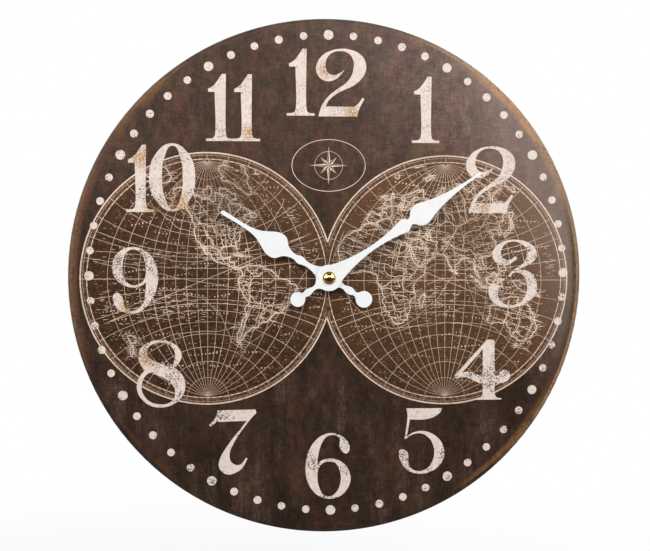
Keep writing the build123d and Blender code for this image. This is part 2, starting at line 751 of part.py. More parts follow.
pieces = {
    "dial_board": dial_board,
    "dial_print": dial_print,
    "hour_hand": hour_hand,
    "minute_hand": minute_hand,
    "cap_nut": cap_nut,
    "threaded_bush": threaded_bush,
    "rubber_washer": rubber_washer,
    "flat_washer": flat_washer,
    "fixing_nut": fixing_nut,
    "case_front": case_front,
    "rear_cover": rear_cover,
    "middle_plate": middle_plate,
    "rotor_pinion": rotor_pinion,
    "rotor_magnet": rotor_magnet,
    "fifth_wheel": fifth_wheel,
    "second_wheel": second_wheel,
    "third_wheel": third_wheel,
    "centre_wheel": centre_wheel,
    "minute_pipe": minute_pipe,
    "minute_wheel": minute_wheel,
    "hour_wheel": hour_wheel,
    "setting_knob": setting_knob,
    "stator": stator,
    "coil_core": coil_core,
    "coil_bobbin": coil_bobbin,
    "coil_winding": coil_winding,
    "circuit_board": circuit_board,
    "quartz_crystal": quartz_crystal,
    "contact_negative": contact_negative,
    "contact_positive": contact_positive,
    "battery": battery,
    "hanger_hook": hanger_hook,
}

os.makedirs("parts", exist_ok=True)
for name, piece in pieces.items():
    piece.part.label = name
    export_step(piece.part, f"parts/{name}.step")
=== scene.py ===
# %% [markdown]
# # A round wall clock with a printed chart
# The clock is a fibreboard disc with a printed face, two white spade hands and a quartz movement behind.
# The solids of every part come from a fixed frame, at their real size. This lesson gives them their finish
# and lays the print on the dial, in metres, where the frame says the parts are.

# %% Load the frame
import json
import math
import random

import bmesh
import bpy
from mathutils import Matrix, Vector


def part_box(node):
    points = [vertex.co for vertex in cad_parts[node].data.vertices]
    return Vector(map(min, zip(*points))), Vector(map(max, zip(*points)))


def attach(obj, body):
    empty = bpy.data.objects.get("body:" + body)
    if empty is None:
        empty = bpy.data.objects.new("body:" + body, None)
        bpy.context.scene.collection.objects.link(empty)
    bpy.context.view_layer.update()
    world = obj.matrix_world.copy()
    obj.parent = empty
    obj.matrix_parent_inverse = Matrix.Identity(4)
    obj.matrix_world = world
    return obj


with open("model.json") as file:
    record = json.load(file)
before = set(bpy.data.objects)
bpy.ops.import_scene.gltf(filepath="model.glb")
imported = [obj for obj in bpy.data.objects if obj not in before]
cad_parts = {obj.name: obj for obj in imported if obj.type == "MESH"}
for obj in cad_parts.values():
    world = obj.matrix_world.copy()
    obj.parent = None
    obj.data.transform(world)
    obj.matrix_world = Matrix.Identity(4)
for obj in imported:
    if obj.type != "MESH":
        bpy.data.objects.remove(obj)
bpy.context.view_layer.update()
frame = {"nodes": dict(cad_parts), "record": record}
nodes = frame["nodes"]

# %% [markdown]
# ## The page
# A dial is drawn flat, on a page, before it is glued to its board. So every mark of the print is made here
# in page millimetres, X to the right and Y up, with its ink standing a few hundredths above the page.
# One matrix then stands the page up on the front of the dial. Drawing flat keeps each outline readable.

# %% The page and its matrix
MM = 0.001
dial_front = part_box("dial_print")[0].y
dial_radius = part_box("dial_board")[1].x
print_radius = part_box("dial_print")[1].x
chart_radius = 77.4
border_radius = 82.4
# Each hemisphere's middle on the page, and the longitude that runs through it
hemispheres = {"west": (-79.3, -0.7, -110.0), "east": (77.95, -2.15, 70.0)}
PAGE = (Matrix.Translation((0, dial_front, 0)) @ Matrix.Rotation(math.radians(90), 4, "X")
        @ Matrix.Scale(MM, 4))


def paint(red, green, blue):
    """A colour given by the display values that it should show, as linear light."""
    shares = [value / 255 for value in (red, green, blue)]
    light = [s / 12.92 if s <= 0.04045 else ((s + 0.055) / 1.055) ** 2.4 for s in shares]
    return (*light, 1.0)


print("dial front at", round(dial_front, 5), "radius", round(dial_radius, 4))

# %% [markdown]
# ## Camera
# The clock was photographed almost square on, a little from the left and from above, about three quarters
# of a metre away. The distance matters: it sets how far the raised hands shift against the print.

# %% Camera
view_distance = 750 * MM
view_azimuth = math.radians(-4.12)
view_elevation = math.radians(2.04)
view_target = Vector((-2.1 * MM, dial_front, 1.25 * MM))
view_lens = 62.93
sensor_width = 36

back = Vector((math.sin(view_azimuth) * math.cos(view_elevation),
               -math.cos(view_azimuth) * math.cos(view_elevation), math.sin(view_elevation)))
camera = bpy.data.objects.new("camera", bpy.data.cameras.new("camera"))
camera.data.lens = view_lens
camera.data.sensor_width = sensor_width
camera.location = view_target + back * view_distance
camera.rotation_euler = back.to_track_quat("Z", "Y").to_euler()
bpy.context.scene.collection.objects.link(camera)
bpy.context.scene.camera = camera
bpy.context.scene.view_settings.view_transform = "Standard"
print("camera at", [round(v, 3) for v in camera.location])

# %% [markdown]
# ## Node helpers
# Shader and geometry trees are built by hand in this lesson, so a few small helpers keep them short.
# Each takes numbers or other nodes' sockets, sets or links them, and gives a socket back. A socket knows the
# tree that it is in, so most helpers find the tree by themselves.


# %% Nodes and sockets
def feed(socket, value):
    """Links a socket to another socket, or sets it to a plain value."""
    if isinstance(value, bpy.types.NodeSocket):
        socket.id_data.links.new(value, socket)
    else:
        socket.default_value = value


def node(tree, kind, settings=None, *values, **inputs):
    """Adds a node. Values go in order, and inputs by their names, with underscores for spaces."""
    made = tree.nodes.new(kind)
    for key, value in (settings or {}).items():
        setattr(made, key, value)
    for socket, value in zip(made.inputs, values):
        feed(socket, value)
    for key, value in inputs.items():
        feed(made.inputs[key.replace("_", " ")], value)
    return made


def tree_of(*values):
    """The tree of the first socket among some values."""
    return next(value.id_data for value in values if isinstance(value, bpy.types.NodeSocket))


print("nodes and sockets ready")


# %% Sums
def calc(operation, first, second=0.0):
    """A sum on numbers that change over the surface."""
    kind = {"operation": operation}
    return node(tree_of(first, second), "ShaderNodeMath", kind, first, second).outputs[0]


def times(first, second):
    """One number multiplied by another."""
    return calc("MULTIPLY", first, second)


def vector_calc(operation, *vectors):
    """A sum on vectors, whose result is a number for a length, a distance or a dot product."""
    made = node(tree_of(*vectors), "ShaderNodeVectorMath", {"operation": operation}, *vectors)
    return made.outputs["Value" if operation in ("LENGTH", "DISTANCE", "DOT_PRODUCT") else "Vector"]


def part_of(vector, axis):
    """One coordinate of a vector."""
    return node(tree_of(vector), "ShaderNodeSeparateXYZ", None, vector).outputs[axis]


def span(value, low, high, to_low=0.0, to_high=1.0):
    """Spreads low to high over another range, smoothly, and holds the ends."""
    smooth = {"interpolation_type": "SMOOTHSTEP"}
    return node(tree_of(value), "ShaderNodeMapRange", smooth, value, low, high, to_low, to_high).outputs[0]


print("sums ready")


# %% Colours and noise
def mix(share, first, second, blend="MIX"):
    """A colour between two others."""
    made = node(tree_of(share), "ShaderNodeMix", {"data_type": "RGBA", "blend_type": blend})
    for index, value in ((0, share), (6, first), (7, second)):
        feed(made.inputs[index], value)
    return made.outputs[2]


def tint(share, colour, by):
    """A colour multiplied by another one, by a share."""
    return mix(share, colour, by, "MULTIPLY")


def noise(vector, pitch, detail=3.0, roughness=0.55):
    """Cloudy noise, with its pitch in features to the metre."""
    return node(tree_of(vector), "ShaderNodeTexNoise", Vector=vector, Scale=pitch, Detail=detail,
                Roughness=roughness).outputs[0]


def stretch(vector, scale):
    """Coordinates scaled by a different amount along each axis."""
    return node(tree_of(vector), "ShaderNodeMapping", Vector=vector, Scale=scale).outputs[0]


def tall(vector, share):
    """Coordinates scaled down along the height, so that noise on them stands tall."""
    return stretch(vector, (1.0, 1.0, share))


print("colours and noise ready")

# %% [markdown]
# ## Shared effects
# Several finishes share the same marks of use and making: canvas threads under the print, flakes missing
# from the ink, the fine grain of moulded plastic and the fine lines of drawn metal. Each is one shader
# group with named inputs, placed in a material with that material's own values.

# %% A shader group's shell
socket_kinds = {"Vector": "Vector", "Centre": "Vector", "Other Centre": "Vector", "Rotation": "Vector",
                "Count": "Int", "Seed": "Int", "Ink": "Material", "Geometry": "Geometry"}


def add_sockets(tree, labels, side):
    """Gives a tree named sockets. A label without a kind in the list is a plain number."""
    for label in labels.split(", "):
        kind = "NodeSocket" + socket_kinds.get(label, "Float")
        tree.interface.new_socket(label, in_out=side, socket_type=kind)


def shader_group(name, inputs, outputs):
    """An empty shader group. Returns the tree and the sockets that it starts and ends with."""
    tree = bpy.data.node_groups.new(name, "ShaderNodeTree")
    add_sockets(tree, inputs, "INPUT")
    add_sockets(tree, outputs, "OUTPUT")
    return tree, tree.nodes.new("NodeGroupInput").outputs, tree.nodes.new("NodeGroupOutput").inputs


def use(group, where, **inputs):
    """Places a shared group where its coordinates are, and gives its outputs."""
    return node(tree_of(where), "ShaderNodeGroup", {"node_tree": group}, Vector=where, **inputs).outputs


print("kinds of socket", sorted(set(socket_kinds.values())))

# %% Canvas threads
thread_stretch = 0.22
run_stretch = 0.1
run_pitch = 130.0
break_pitch = 1300.0
patch_pitch = 22.0


def make_canvas():
    """A fine weave of upright and level threads, and long upright streaks where paint has run."""
    tree, start, end = shader_group("canvas_threads", "Vector, Pitch", "Tone, Streak")
    vector, pitch = start["Vector"], start["Pitch"]
    upright = noise(tall(vector, thread_stretch), pitch, 2.0, 0.6)
    level = noise(stretch(vector, (thread_stretch, 1.0, 1.0)), pitch, 2.0, 0.6)
    feed(end["Tone"], times(calc("ADD", upright, level), 0.5))
    runs = span(noise(tall(vector, run_stretch), run_pitch, 4.0, 0.65), 0.46, 0.66)
    broken = span(noise(tall(vector, 0.5), break_pitch, 2.0), 0.4, 0.6, 0.15, 1.0)
    patch = span(noise(vector, patch_pitch), 0.42, 0.58)
    feed(end["Streak"], times(runs, times(patch, broken)))
    return tree


canvas_threads = make_canvas()
print("canvas threads", len(canvas_threads.nodes), "nodes")

# %% Flaked ink
few_flakes_at = 130 * MM
most_flakes_at = -20 * MM
worn_pitch = 70.0
yellow_pitch = 900.0
mottle_pitch = 380.0


def make_flaking():
    """Where old ink has flaked away in round specks, where it can yellow, and its cloudy mottle."""
    tree, start, end = shader_group("flaked_ink", "Vector, Speck, Amount", "Flaked, Yellowed, Mottle")
    vector = start["Vector"]
    specks = node(tree, "ShaderNodeTexVoronoi", {"feature": "F1"}, Vector=vector,
                  Scale=start["Speck"]).outputs
    dice = node(tree, "ShaderNodeSeparateColor", Color=specks["Color"]).outputs[0]
    low = span(part_of(vector, "Z"), few_flakes_at, most_flakes_at, 0.6, 1.0)
    worn = times(span(noise(vector, worn_pitch, 4.0, 0.6), 0.44, 0.58, 0.25, 1.0), low)
    reach = times(times(worn, start["Amount"]), span(dice, 0.1, 1.0))
    feed(end["Flaked"], span(calc("SUBTRACT", reach, specks["Distance"]), -0.08, 0.08, 0.0, 0.85))
    feed(end["Yellowed"], span(noise(vector, yellow_pitch, 3.0, 0.6), 0.38, 0.56))
    feed(end["Mottle"], span(noise(vector, mottle_pitch), 0.4, 0.68))
    return tree


flaked_ink = make_flaking()
print("flaked ink", len(flaked_ink.nodes), "nodes")

# %% Moulded grain and drawn metal
dust_pitch = 90.0
line_stretch = 0.03
tarnish_pitch = 260.0


def make_grain():
    """The fine grain of a moulded or sprayed skin: a height, a roughness around a middle, and dust."""
    tree, start, end = shader_group("moulded_grain", "Vector, Scale, Middle", "Height, Roughness, Dust")
    vector = start["Vector"]
    feed(end["Height"], noise(vector, start["Scale"], 2.0))
    cloud = noise(vector, dust_pitch)
    feed(end["Roughness"], calc("ADD", start["Middle"], span(cloud, 0.3, 0.7, -0.07, 0.07)))
    feed(end["Dust"], span(cloud, 0.45, 0.8))
    return tree


def make_drawn():
    """Fine lines left on metal by drawing and polishing, with a little tarnish in patches."""
    tree, start, end = shader_group("drawn_metal", "Vector, Lines, Middle", "Roughness, Tarnish")
    vector = start["Vector"]
    lines = noise(tall(vector, line_stretch), start["Lines"], 2.0)
    feed(end["Roughness"], calc("ADD", start["Middle"], span(lines, 0.3, 0.7, -0.05, 0.08)))
    feed(end["Tarnish"], span(noise(vector, tarnish_pitch, 4.0), 0.5, 0.75))
    return tree


moulded_grain = make_grain()
drawn_metal = make_drawn()
print("shared effects", [group.name for group in bpy.data.node_groups])


# %% [markdown]
# ## The printed face
# The face is a foil printed to look like old dark canvas: brown with olive, wine red, dark and pale patches,
# crossed by short threads, warmer inside the two hemispheres and rubbed to a rusty orange along parts of the
# edge. It could be painted by hand, but layers of noise, each with its own size, can be read one by one.
# Soft fades lighten the face towards the top, and a painted sheen, standing in for light reflected by
# the satin foil, lightens it towards the upper right.

# %% A material's shell
def new_material(name):
    """A material with a Principled shader. Returns it, the shader's inputs and its coordinates."""
    made = bpy.data.materials.new(name)
    made.use_nodes = True
    tree = made.node_tree
    where = tree.nodes.new("ShaderNodeTexCoord").outputs["Object"]
    return made, tree.nodes["Principled BSDF"].inputs, where


def finish(shader, bump=None, **values):
    """Feeds a shader's inputs by name. A bump is a height, its strength and its depth."""
    for label, value in values.items():
        feed(shader[label.replace("_", " ")], value)
    if bump:
        height, strength, depth = bump
        raised = node(tree_of(height), "ShaderNodeBump", Height=height, Strength=strength, Distance=depth)
        feed(shader["Normal"], raised.outputs[0])


def along(where, x, z):
    """How far a point lies along a direction of the face."""
    return vector_calc("DOT_PRODUCT", where, (x, 0, z))


def fade(where, x, z, start, end, most):
    """A share that grows from 0 to its most, from a start to an end in millimetres along a direction."""
    return span(along(where, x, z), start * MM, end * MM, 0.0, most)


print("a material's shell ready")

# %% The brown of the print
dark_brown = paint(43, 29, 19)
mid_brown = paint(62, 43, 31)
upper_brown = paint(104, 78, 61)
# Painted sheen colour, standing in for light reflected by the satin foil towards the upper right
sheen_brown = paint(134, 112, 101)
olive_tint = (0.89, 1.06, 0.93, 1)
wine_tint = (1.05, 0.88, 1.05, 1)
dark_blot = (0.77, 0.79, 0.81, 1)
pale_blot = (1.34, 1.26, 1.21, 1)
dark_thread = (0.74, 0.73, 0.73, 1)
pale_thread = (1.3, 1.29, 1.29, 1)
pale_streak = paint(112, 88, 82)
thread_pitch = 950.0
cloud_pitch = 45.0
hue_pitch = 110.0
blot_pitch = 170.0
# Each fade: its direction's X and Z, where it starts and ends, in millimetres, and how strong it becomes
height_fade = (0.0, 1.0, 0, 90, 0.26)
sheen_fade = (0.8, 0.6, 45, 185, 0.5)
few_streaks_at = 90 * MM
most_streaks_at = -40 * MM


def aged_brown_and_sheen(where):
    """The mottled brown of the print with its painted sheen, as a colour and the tone of its threads."""
    canvas = use(canvas_threads, where, Pitch=thread_pitch)
    tone = canvas["Tone"]
    cloud = noise(tall(where, 0.35), cloud_pitch, 5.0, 0.65)
    hue = noise(tall(where, 0.7), hue_pitch, 3.0, 0.6)
    blots = noise(tall(where, 0.6), blot_pitch, 4.0, 0.65)
    brown = mix(span(cloud, 0.34, 0.68), dark_brown, mid_brown)
    # Lighter towards the top
    brown = mix(fade(where, *height_fade), brown, upper_brown)
    # Painted sheen: reflected light painted in towards the upper right
    brown = mix(fade(where, *sheen_fade), brown, sheen_brown)
    brown = tint(span(hue, 0.48, 0.36), brown, olive_tint)
    brown = tint(span(hue, 0.52, 0.64), brown, wine_tint)
    brown = tint(span(blots, 0.49, 0.39), brown, dark_blot)
    brown = tint(span(blots, 0.51, 0.61), brown, pale_blot)
    low = span(along(where, 0.0, 1.0), few_streaks_at, most_streaks_at, 0.1, 0.34)
    brown = mix(times(canvas["Streak"], low), brown, pale_streak)
    brown = tint(span(tone, 0.5, 0.38), brown, dark_thread)
    return tint(span(tone, 0.5, 0.62), brown, pale_thread), tone


print("dark brown, as light", [round(light, 4) for light in dark_brown[:3]])

# %% Places on the face
hour_turn = 30
at_hour = 0.985
edge_blur = 0.2
patch_cloud_pitch = 85.0
fleck_pitch = 600.0


def from_point(where, x, z):
    """The distance from a line that runs straight back through a point of the face."""
    return vector_calc("LENGTH", vector_calc("MULTIPLY_ADD", where, (1, 0, 1), (-x, 0, -z)))


def in_hemispheres(where, radius):
    """1 inside either hemisphere, out to a radius given in page millimetres."""
    away = [from_point(where, x * MM, y * MM) for x, y, _ in hemispheres.values()]
    return span(calc("MINIMUM", *away), (radius + edge_blur) * MM, (radius - edge_blur) * MM)


def towards(where, hour, spread):
    """1 in the direction of an hour of the dial, and 0 from a number of hours to either side of it."""
    turn = math.radians(hour_turn * hour)
    near = along(vector_calc("NORMALIZE", where), math.sin(turn), math.cos(turn))
    return span(near, math.cos(math.radians(hour_turn * spread)), at_hour)


def wear_and_highlight_patches(where, colour, patches, share):
    """Lays each patch's colour around its hour, where a cloudy noise is above the patch's start: rubbed
    wear, and on the right of the board's edge also a painted highlight.
    """
    cloud = noise(where, patch_cloud_pitch, 6.0, 0.75)
    flecks = times(share, span(noise(where, fleck_pitch), 0.36, 0.52, 0.4, 1.0))
    for hour, spread, start, rubbed in patches:
        worn = times(span(cloud, start - 0.12, start + 0.08), towards(where, hour, spread))
        colour = mix(times(worn, flecks), colour, rubbed)
    return colour


print("hemispheres out to", border_radius, "mm, with the chart out to", chart_radius, "mm")

# %% The printed skin
chart_dark = paint(53, 30, 14)
chart_light = paint(88, 57, 35)
# Painted sheen colour of the chart, standing in for reflected light
chart_sheen = paint(130, 94, 66)
band_brown = paint(112, 78, 56)
# Painted sheen colour at the far upper right, standing in for reflected light
painted_sheen = paint(150, 134, 124)
chart_cool = (0.84, 0.93, 0.96, 1)
chart_pitch = 420.0
cool_pitch = 26.0
chart_sheen_fade = (0.55, 0.83, -90, 140, 0.5)
painted_sheen_fade = (0.93, 0.36, 110, 165, 0.4)
# Each rubbed patch: its hour, how many hours it spreads, the noise that it starts at, and its colour
print_patches = [(1.75, 0.9, 0.47, paint(184, 138, 100)), (3.2, 1.0, 0.4, paint(76, 54, 34)),
                 (4.4, 0.7, 0.44, paint(118, 82, 46)), (9.2, 1.0, 0.42, paint(104, 70, 50)),
                 (7.6, 0.5, 0.5, paint(80, 52, 32)), (10.4, 0.5, 0.44, paint(106, 74, 44))]
rub_starts = print_radius - 4.5 * MM
rub_full = print_radius - 0.8 * MM
foil_sheen = 0.16
thread_relief = 0.15


def make_printed_skin():
    """The brown of the print, with the chart, the bands round it, a painted sheen and the rubbed edge."""
    made, shader, where = new_material("printed_skin")
    brown, tone = aged_brown_and_sheen(where)
    worn = noise(where, chart_pitch, 5.0, 0.7)
    chart = mix(span(worn, 0.4, 0.68), chart_dark, chart_light)
    # Painted sheen: reflected light painted over the chart towards the top and the upper right
    chart = mix(fade(where, *chart_sheen_fade), chart, chart_sheen)
    chart = tint(span(noise(where, cool_pitch, 3.0, 0.6), 0.46, 0.6), chart, chart_cool)
    chart = tint(span(tone, 0.5, 0.38), chart, dark_thread)
    band = mix(span(worn, 0.4, 0.6), brown, band_brown)
    brown = mix(in_hemispheres(where, border_radius), brown, band)
    brown = mix(in_hemispheres(where, chart_radius), brown, chart)
    # Painted sheen: reflected light painted in at the far upper right of the face
    brown = mix(fade(where, *painted_sheen_fade), brown, painted_sheen)
    near_edge = span(from_point(where, 0, 0), rub_starts, rub_full)
    brown = wear_and_highlight_patches(where, brown, print_patches, near_edge)
    finish(shader, (tone, thread_relief, 0.1 * MM), Base_Color=brown,
           Roughness=span(tone, 0.3, 0.7, 0.4, 0.5), Specular_IOR_Level=foil_sheen)
    return made


printed_skin = make_printed_skin()
print("printed skin", len(printed_skin.node_tree.nodes), "nodes")

# %% [markdown]
# ## The board
# Behind the foil is bare fibreboard, brown and fuzzy with pressed fibres. Its round edge is painted in the
# same brown as the face and rubbed to a warm brown on the left. On the right it turns tan, partly rubbed
# paint and partly a painted highlight, where light from the upper right catches the round edge. One material
# covers
# the piece: the depth in the board and the distance from the axis say which surface is meant, so no faces
# have to be chosen by hand.

# %% The board
bare_board = paint(176, 146, 112)
dark_fibre = paint(142, 112, 82)
fibre_pitch = 900.0
board_sheen = 0.25
board_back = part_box("dial_board")[1].y
# Each patch of the edge: its hour, how many hours it spreads, the noise that it starts at, and its colour.
# The tan patches on the right are partly rubbed paint and partly a painted highlight of light from the upper
# right; those on the left are rubbed warm brown.
edge_wear_and_highlight = [(1.6, 1.1, 0.36, paint(172, 138, 108)), (3.3, 1.5, 0.42, paint(150, 118, 88)),
                (9.1, 1.0, 0.4, paint(118, 86, 64)), (10.5, 0.5, 0.45, paint(110, 84, 60))]


def make_fibreboard():
    """Bare pressed fibres behind, and round the edge the brown of the print, rubbed, with a painted highlight
    on the right.
    """
    made, shader, where = new_material("fibreboard")
    fibre = noise(where, fibre_pitch, 4.0, 0.7)
    board = mix(span(fibre, 0.35, 0.7), bare_board, dark_fibre)
    # The rubbed edge, with a painted highlight on its right
    edge = wear_and_highlight_patches(where, aged_brown_and_sheen(where)[0], edge_wear_and_highlight, 1.0)
    outside = span(from_point(where, 0, 0), dial_radius - 4 * MM, dial_radius - 3.4 * MM)
    painted = times(outside, span(part_of(where, "Y"), board_back, board_back - 0.3 * MM))
    finish(shader, (fibre, 0.3, 0.15 * MM), Base_Color=mix(painted, board, edge),
           Roughness=span(painted, 0.0, 1.0, 0.85, 0.55), Specular_IOR_Level=board_sheen)
    return made


fibreboard = make_fibreboard()
print("fibreboard", len(fibreboard.node_tree.nodes), "nodes")

# %% [markdown]
# ## The inks
# The numerals and dots are a thick cream ink, speckled with small missing flakes and yellowed in places.
# The chart is the same ink in thin lines, more faded, and most of all over two worn places. All the inks
# share the flaking group, and where ink is missing they show the brown of the face, with its painted sheen.

# %% Places of the inks
# Yellow stains and thin places: X and Z on the face, and a radius, in millimetres
stains = [(-122, 78, 11), (-115, 47, 9), (-97, 48, 11), (-84, 88, 7), (16, 108, 9), (-2, 136, 8),
          (-119, -52, 10), (-131, -18, 9), (-160, -42, 6), (-140, -79, 6), (104, 46, 6), (-52, 95, 8)]
thin_spots = [(-64, 54, 44), (98, 30, 34)]


def near_any(where, spots):
    """1 in the middle of each spot of the face, given in millimetres, and 0 from its radius on."""
    near = 0.0
    for x, z, radius in spots:
        near = calc("MAXIMUM", span(from_point(where, x * MM, z * MM), radius * MM, 0.0), near)
    return near


print("yellow stains", len(stains), "thin places", len(thin_spots))

# %% The inks
cream = paint(232, 218, 209)
cream_shade = paint(206, 188, 178)
ochre = paint(176, 126, 62)
yellow_all_over = 0.12
ink_pitch = 42.0
low_fade = (0.0, 1.0, -25, -85)
thin_factor = 1.65


def make_ink(name, ink, speck, amount, faded):
    """A printed ink. faded is how far its worn patches sink towards the brown of the face."""
    made, shader, where = new_material(name)
    brown, tone = aged_brown_and_sheen(where)
    wear = use(flaked_ink, where, Speck=speck, Amount=amount)
    colour = mix(times(wear["Mottle"], 0.5), ink, cream_shade)
    yellowed = times(wear["Yellowed"], calc("ADD", near_any(where, stains), yellow_all_over))
    colour = mix(yellowed, colour, ochre)
    patchy = span(noise(where, ink_pitch), 0.36, 0.7, 0.0, faded)
    thin = times(near_any(where, thin_spots), thin_factor * faded)
    gone = calc("MAXIMUM", calc("MAXIMUM", patchy, fade(where, *low_fade, faded)), thin)
    colour = mix(gone, colour, brown)
    finish(shader, (tone, thread_relief, 0.08 * MM), Base_Color=mix(wear["Flaked"], colour, brown),
           Roughness=span(tone, 0.3, 0.7, 0.42, 0.52), Specular_IOR_Level=foil_sheen)
    return made


numeral_ink = make_ink("numeral_ink", cream, speck=1300.0, amount=0.78, faded=0.08)
border_ink = make_ink("border_ink", paint(246, 220, 198), speck=1000.0, amount=0.35, faded=0.2)
coast_ink = make_ink("coast_ink", paint(252, 230, 208), speck=1000.0, amount=0.35, faded=0.28)
fine_ink = make_ink("fine_ink", paint(234, 206, 182), speck=1000.0, amount=0.35, faded=0.42)
print("inks", [made.name for made in (numeral_ink, border_ink, coast_ink, fine_ink)])

# %% [markdown]
# ## Lacquer, metal and plastic
# The hands are white lacquered aluminium. The nut, bush and washer are brass, the hanger and contacts are
# bright steel, and the movement is black moulded plastic with pale acetal wheels. The two shared groups
# give each its own grain, so a finish is only a colour, a middle roughness and a grain size.

# %% Moulded and sprayed finishes
# Colour, worn colour, roughness, grains to the metre and strength of the grain
moulded = {
    "white_lacquer": (paint(233, 233, 233), paint(226, 226, 225), 0.45, 700.0, 0.05),
    "black_rubber": (paint(30, 30, 30), paint(44, 43, 42), 0.75, 1200.0, 0.3),
    "case_plastic": (paint(34, 34, 35), paint(46, 46, 46), 0.48, 2200.0, 0.35),
    "gear_plastic": (paint(228, 225, 214), paint(214, 209, 194), 0.4, 1800.0, 0.1),
    "knob_plastic": (paint(58, 58, 61), paint(74, 74, 76), 0.42, 2000.0, 0.25),
    "board_laminate": (paint(38, 92, 56), paint(52, 108, 70), 0.35, 1600.0, 0.1),
}
grain_depth = 0.05 * MM


def make_moulded(name, colour, worn, roughness, grain, strength):
    """A moulded or sprayed skin. worn is the colour that handling and dust give it in patches."""
    made, shader, where = new_material(name)
    skin = use(moulded_grain, where, Scale=grain, Middle=roughness)
    finish(shader, (skin["Height"], strength, grain_depth), Base_Color=mix(skin["Dust"], colour, worn),
           Roughness=skin["Roughness"])
    return made


finishes = {name: make_moulded(name, *values) for name, values in moulded.items()}
print("moulded and sprayed", list(finishes))

# %% Metals
# Colour, tarnished colour, roughness and lines to the metre
metals = {
    "polished_brass": (paint(238, 202, 126), paint(214, 170, 92), 0.1, 3000.0),
    "spring_steel": (paint(200, 200, 202), paint(170, 168, 164), 0.28, 2400.0),
    "magnet": (paint(92, 92, 96), paint(74, 72, 72), 0.5, 900.0),
    "copper_wire": (paint(200, 122, 78), paint(168, 92, 54), 0.35, 5000.0),
}


def make_metal(name, colour, tarnish, roughness, lines):
    """A metal with fine lines and a little tarnish."""
    made, shader, where = new_material(name)
    skin = use(drawn_metal, where, Lines=lines, Middle=roughness)
    finish(shader, Base_Color=mix(skin["Tarnish"], colour, tarnish), Roughness=skin["Roughness"],
           Metallic=1.0)
    return made


finishes.update({name: make_metal(name, *values) for name, values in metals.items()})
print("metals", list(metals))

# %% The cell's sleeve
sleeve_dark = paint(48, 50, 54)
sleeve_copper = paint(176, 122, 72)
sleeve_dust = paint(120, 118, 114)
bare_can = paint(190, 190, 188)
copper_length = 14 * MM


def make_cell_jacket():
    """A plain sleeve in two colours, with bare metal at both ends."""
    made, shader, where = new_material("cell_jacket")
    low, high = [corner.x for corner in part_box("battery")]
    skin = use(moulded_grain, where, Scale=1500.0, Middle=0.3)
    across = part_of(where, "X")
    band_at = high - copper_length
    sleeve = mix(span(across, band_at, band_at + 0.1 * MM), sleeve_dark, sleeve_copper)
    sleeve = mix(times(skin["Dust"], 0.3), sleeve, sleeve_dust)
    left_end = span(across, low + 0.5 * MM, low + 0.6 * MM, 1.0, 0.0)
    right_end = span(across, high - 2.0 * MM, high - 1.9 * MM)
    bare = calc("MAXIMUM", left_end, right_end)
    finish(shader, Base_Color=mix(bare, sleeve, bare_can), Metallic=span(bare, 0.0, 1.0, 0.25, 1.0),
           Roughness=skin["Roughness"])
    return made


cell_jacket = make_cell_jacket()
print("copper band of the cell", round(copper_length / MM), "mm long")

# %% Every part gets its finish
finishes.update(printed_skin=printed_skin, fibreboard=fibreboard, cell_jacket=cell_jacket)
for part in frame["record"]["subparts"]:
    mesh = nodes[part["node"]].data
    mesh.materials.clear()
    mesh.materials.append(finishes[part["material_slot"]])

# %% [markdown]
# ## Ink lines
# Borders, meridians, coasts and rivers are all pen lines, so one geometry tree draws them: it takes the
# edges of a mesh as paths, sweeps a flat nib along them and sets the ink. A path mesh is only points in a
# row, and the nib's width is a named input, so each kind of line gets its own weight.


# %% From the page to the dial
def place(mesh, name, body):
    """Makes a finished mesh a piece of the clock, riding on a body."""
    piece = bpy.data.objects.new(name, mesh)
    bpy.context.scene.collection.objects.link(piece)
    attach(piece, body)
    return piece


def stand_up(mesh, name, ink=None):
    """Stands a mesh of the page up on the dial, as a piece of the print, in an ink if it has none yet."""
    mesh.transform(PAGE)
    if ink:
        mesh.materials.clear()
        mesh.materials.append(ink)
    return place(mesh, name, "clock_body")


def settle(draft, name, ink=None):
    """Keeps the plain mesh of a draft object, such as a curve or the end of a tree, and drops the draft."""
    bpy.context.scene.collection.objects.link(draft)
    depsgraph = bpy.context.evaluated_depsgraph_get()
    mesh = bpy.data.meshes.new_from_object(draft.evaluated_get(depsgraph))
    bpy.data.objects.remove(draft)
    return stand_up(mesh, name, ink)


print("a page millimetre on the dial", PAGE.to_scale().x, "m")


# %% A geometry tree's shell
def geometry_tree(name, inputs):
    """An empty geometry tree with its named inputs. Returns the tree and the sockets that it starts with."""
    tree = bpy.data.node_groups.new(name, "GeometryNodeTree")
    add_sockets(tree, "Geometry, " + inputs, "INPUT")
    add_sockets(tree, "Geometry", "OUTPUT")
    return tree, tree.nodes.new("NodeGroupInput").outputs


def vector_of(tree, x=0.0, y=0.0, z=0.0):
    """A vector from its coordinates."""
    return node(tree, "ShaderNodeCombineXYZ", None, x, y, z).outputs[0]


def half_up(tree, height):
    """A move that sets ink of a height on the page."""
    return vector_of(tree, z=times(height, 0.5))


def end_tree(tree, geometry, ink, **move):
    """Ends a tree: its geometry is moved into place, instances become real faces, and the ink is set."""
    moved = node(tree, "GeometryNodeTransform", Geometry=geometry, **move)
    real = node(tree, "GeometryNodeRealizeInstances", Geometry=moved.outputs[0])
    inked = node(tree, "GeometryNodeSetMaterial", Geometry=real.outputs[0], Material=ink)
    feed(tree.nodes.new("NodeGroupOutput").inputs[0], inked.outputs[0])
    return tree


print("a geometry tree's shell ready")


# %% Running a tree
def plain_mesh(points=(), edges=()):
    """A mesh of points and edges. An empty one starts a tree that makes its own points."""
    mesh = bpy.data.meshes.new("draft")
    mesh.from_pydata(points, edges, [])
    return mesh


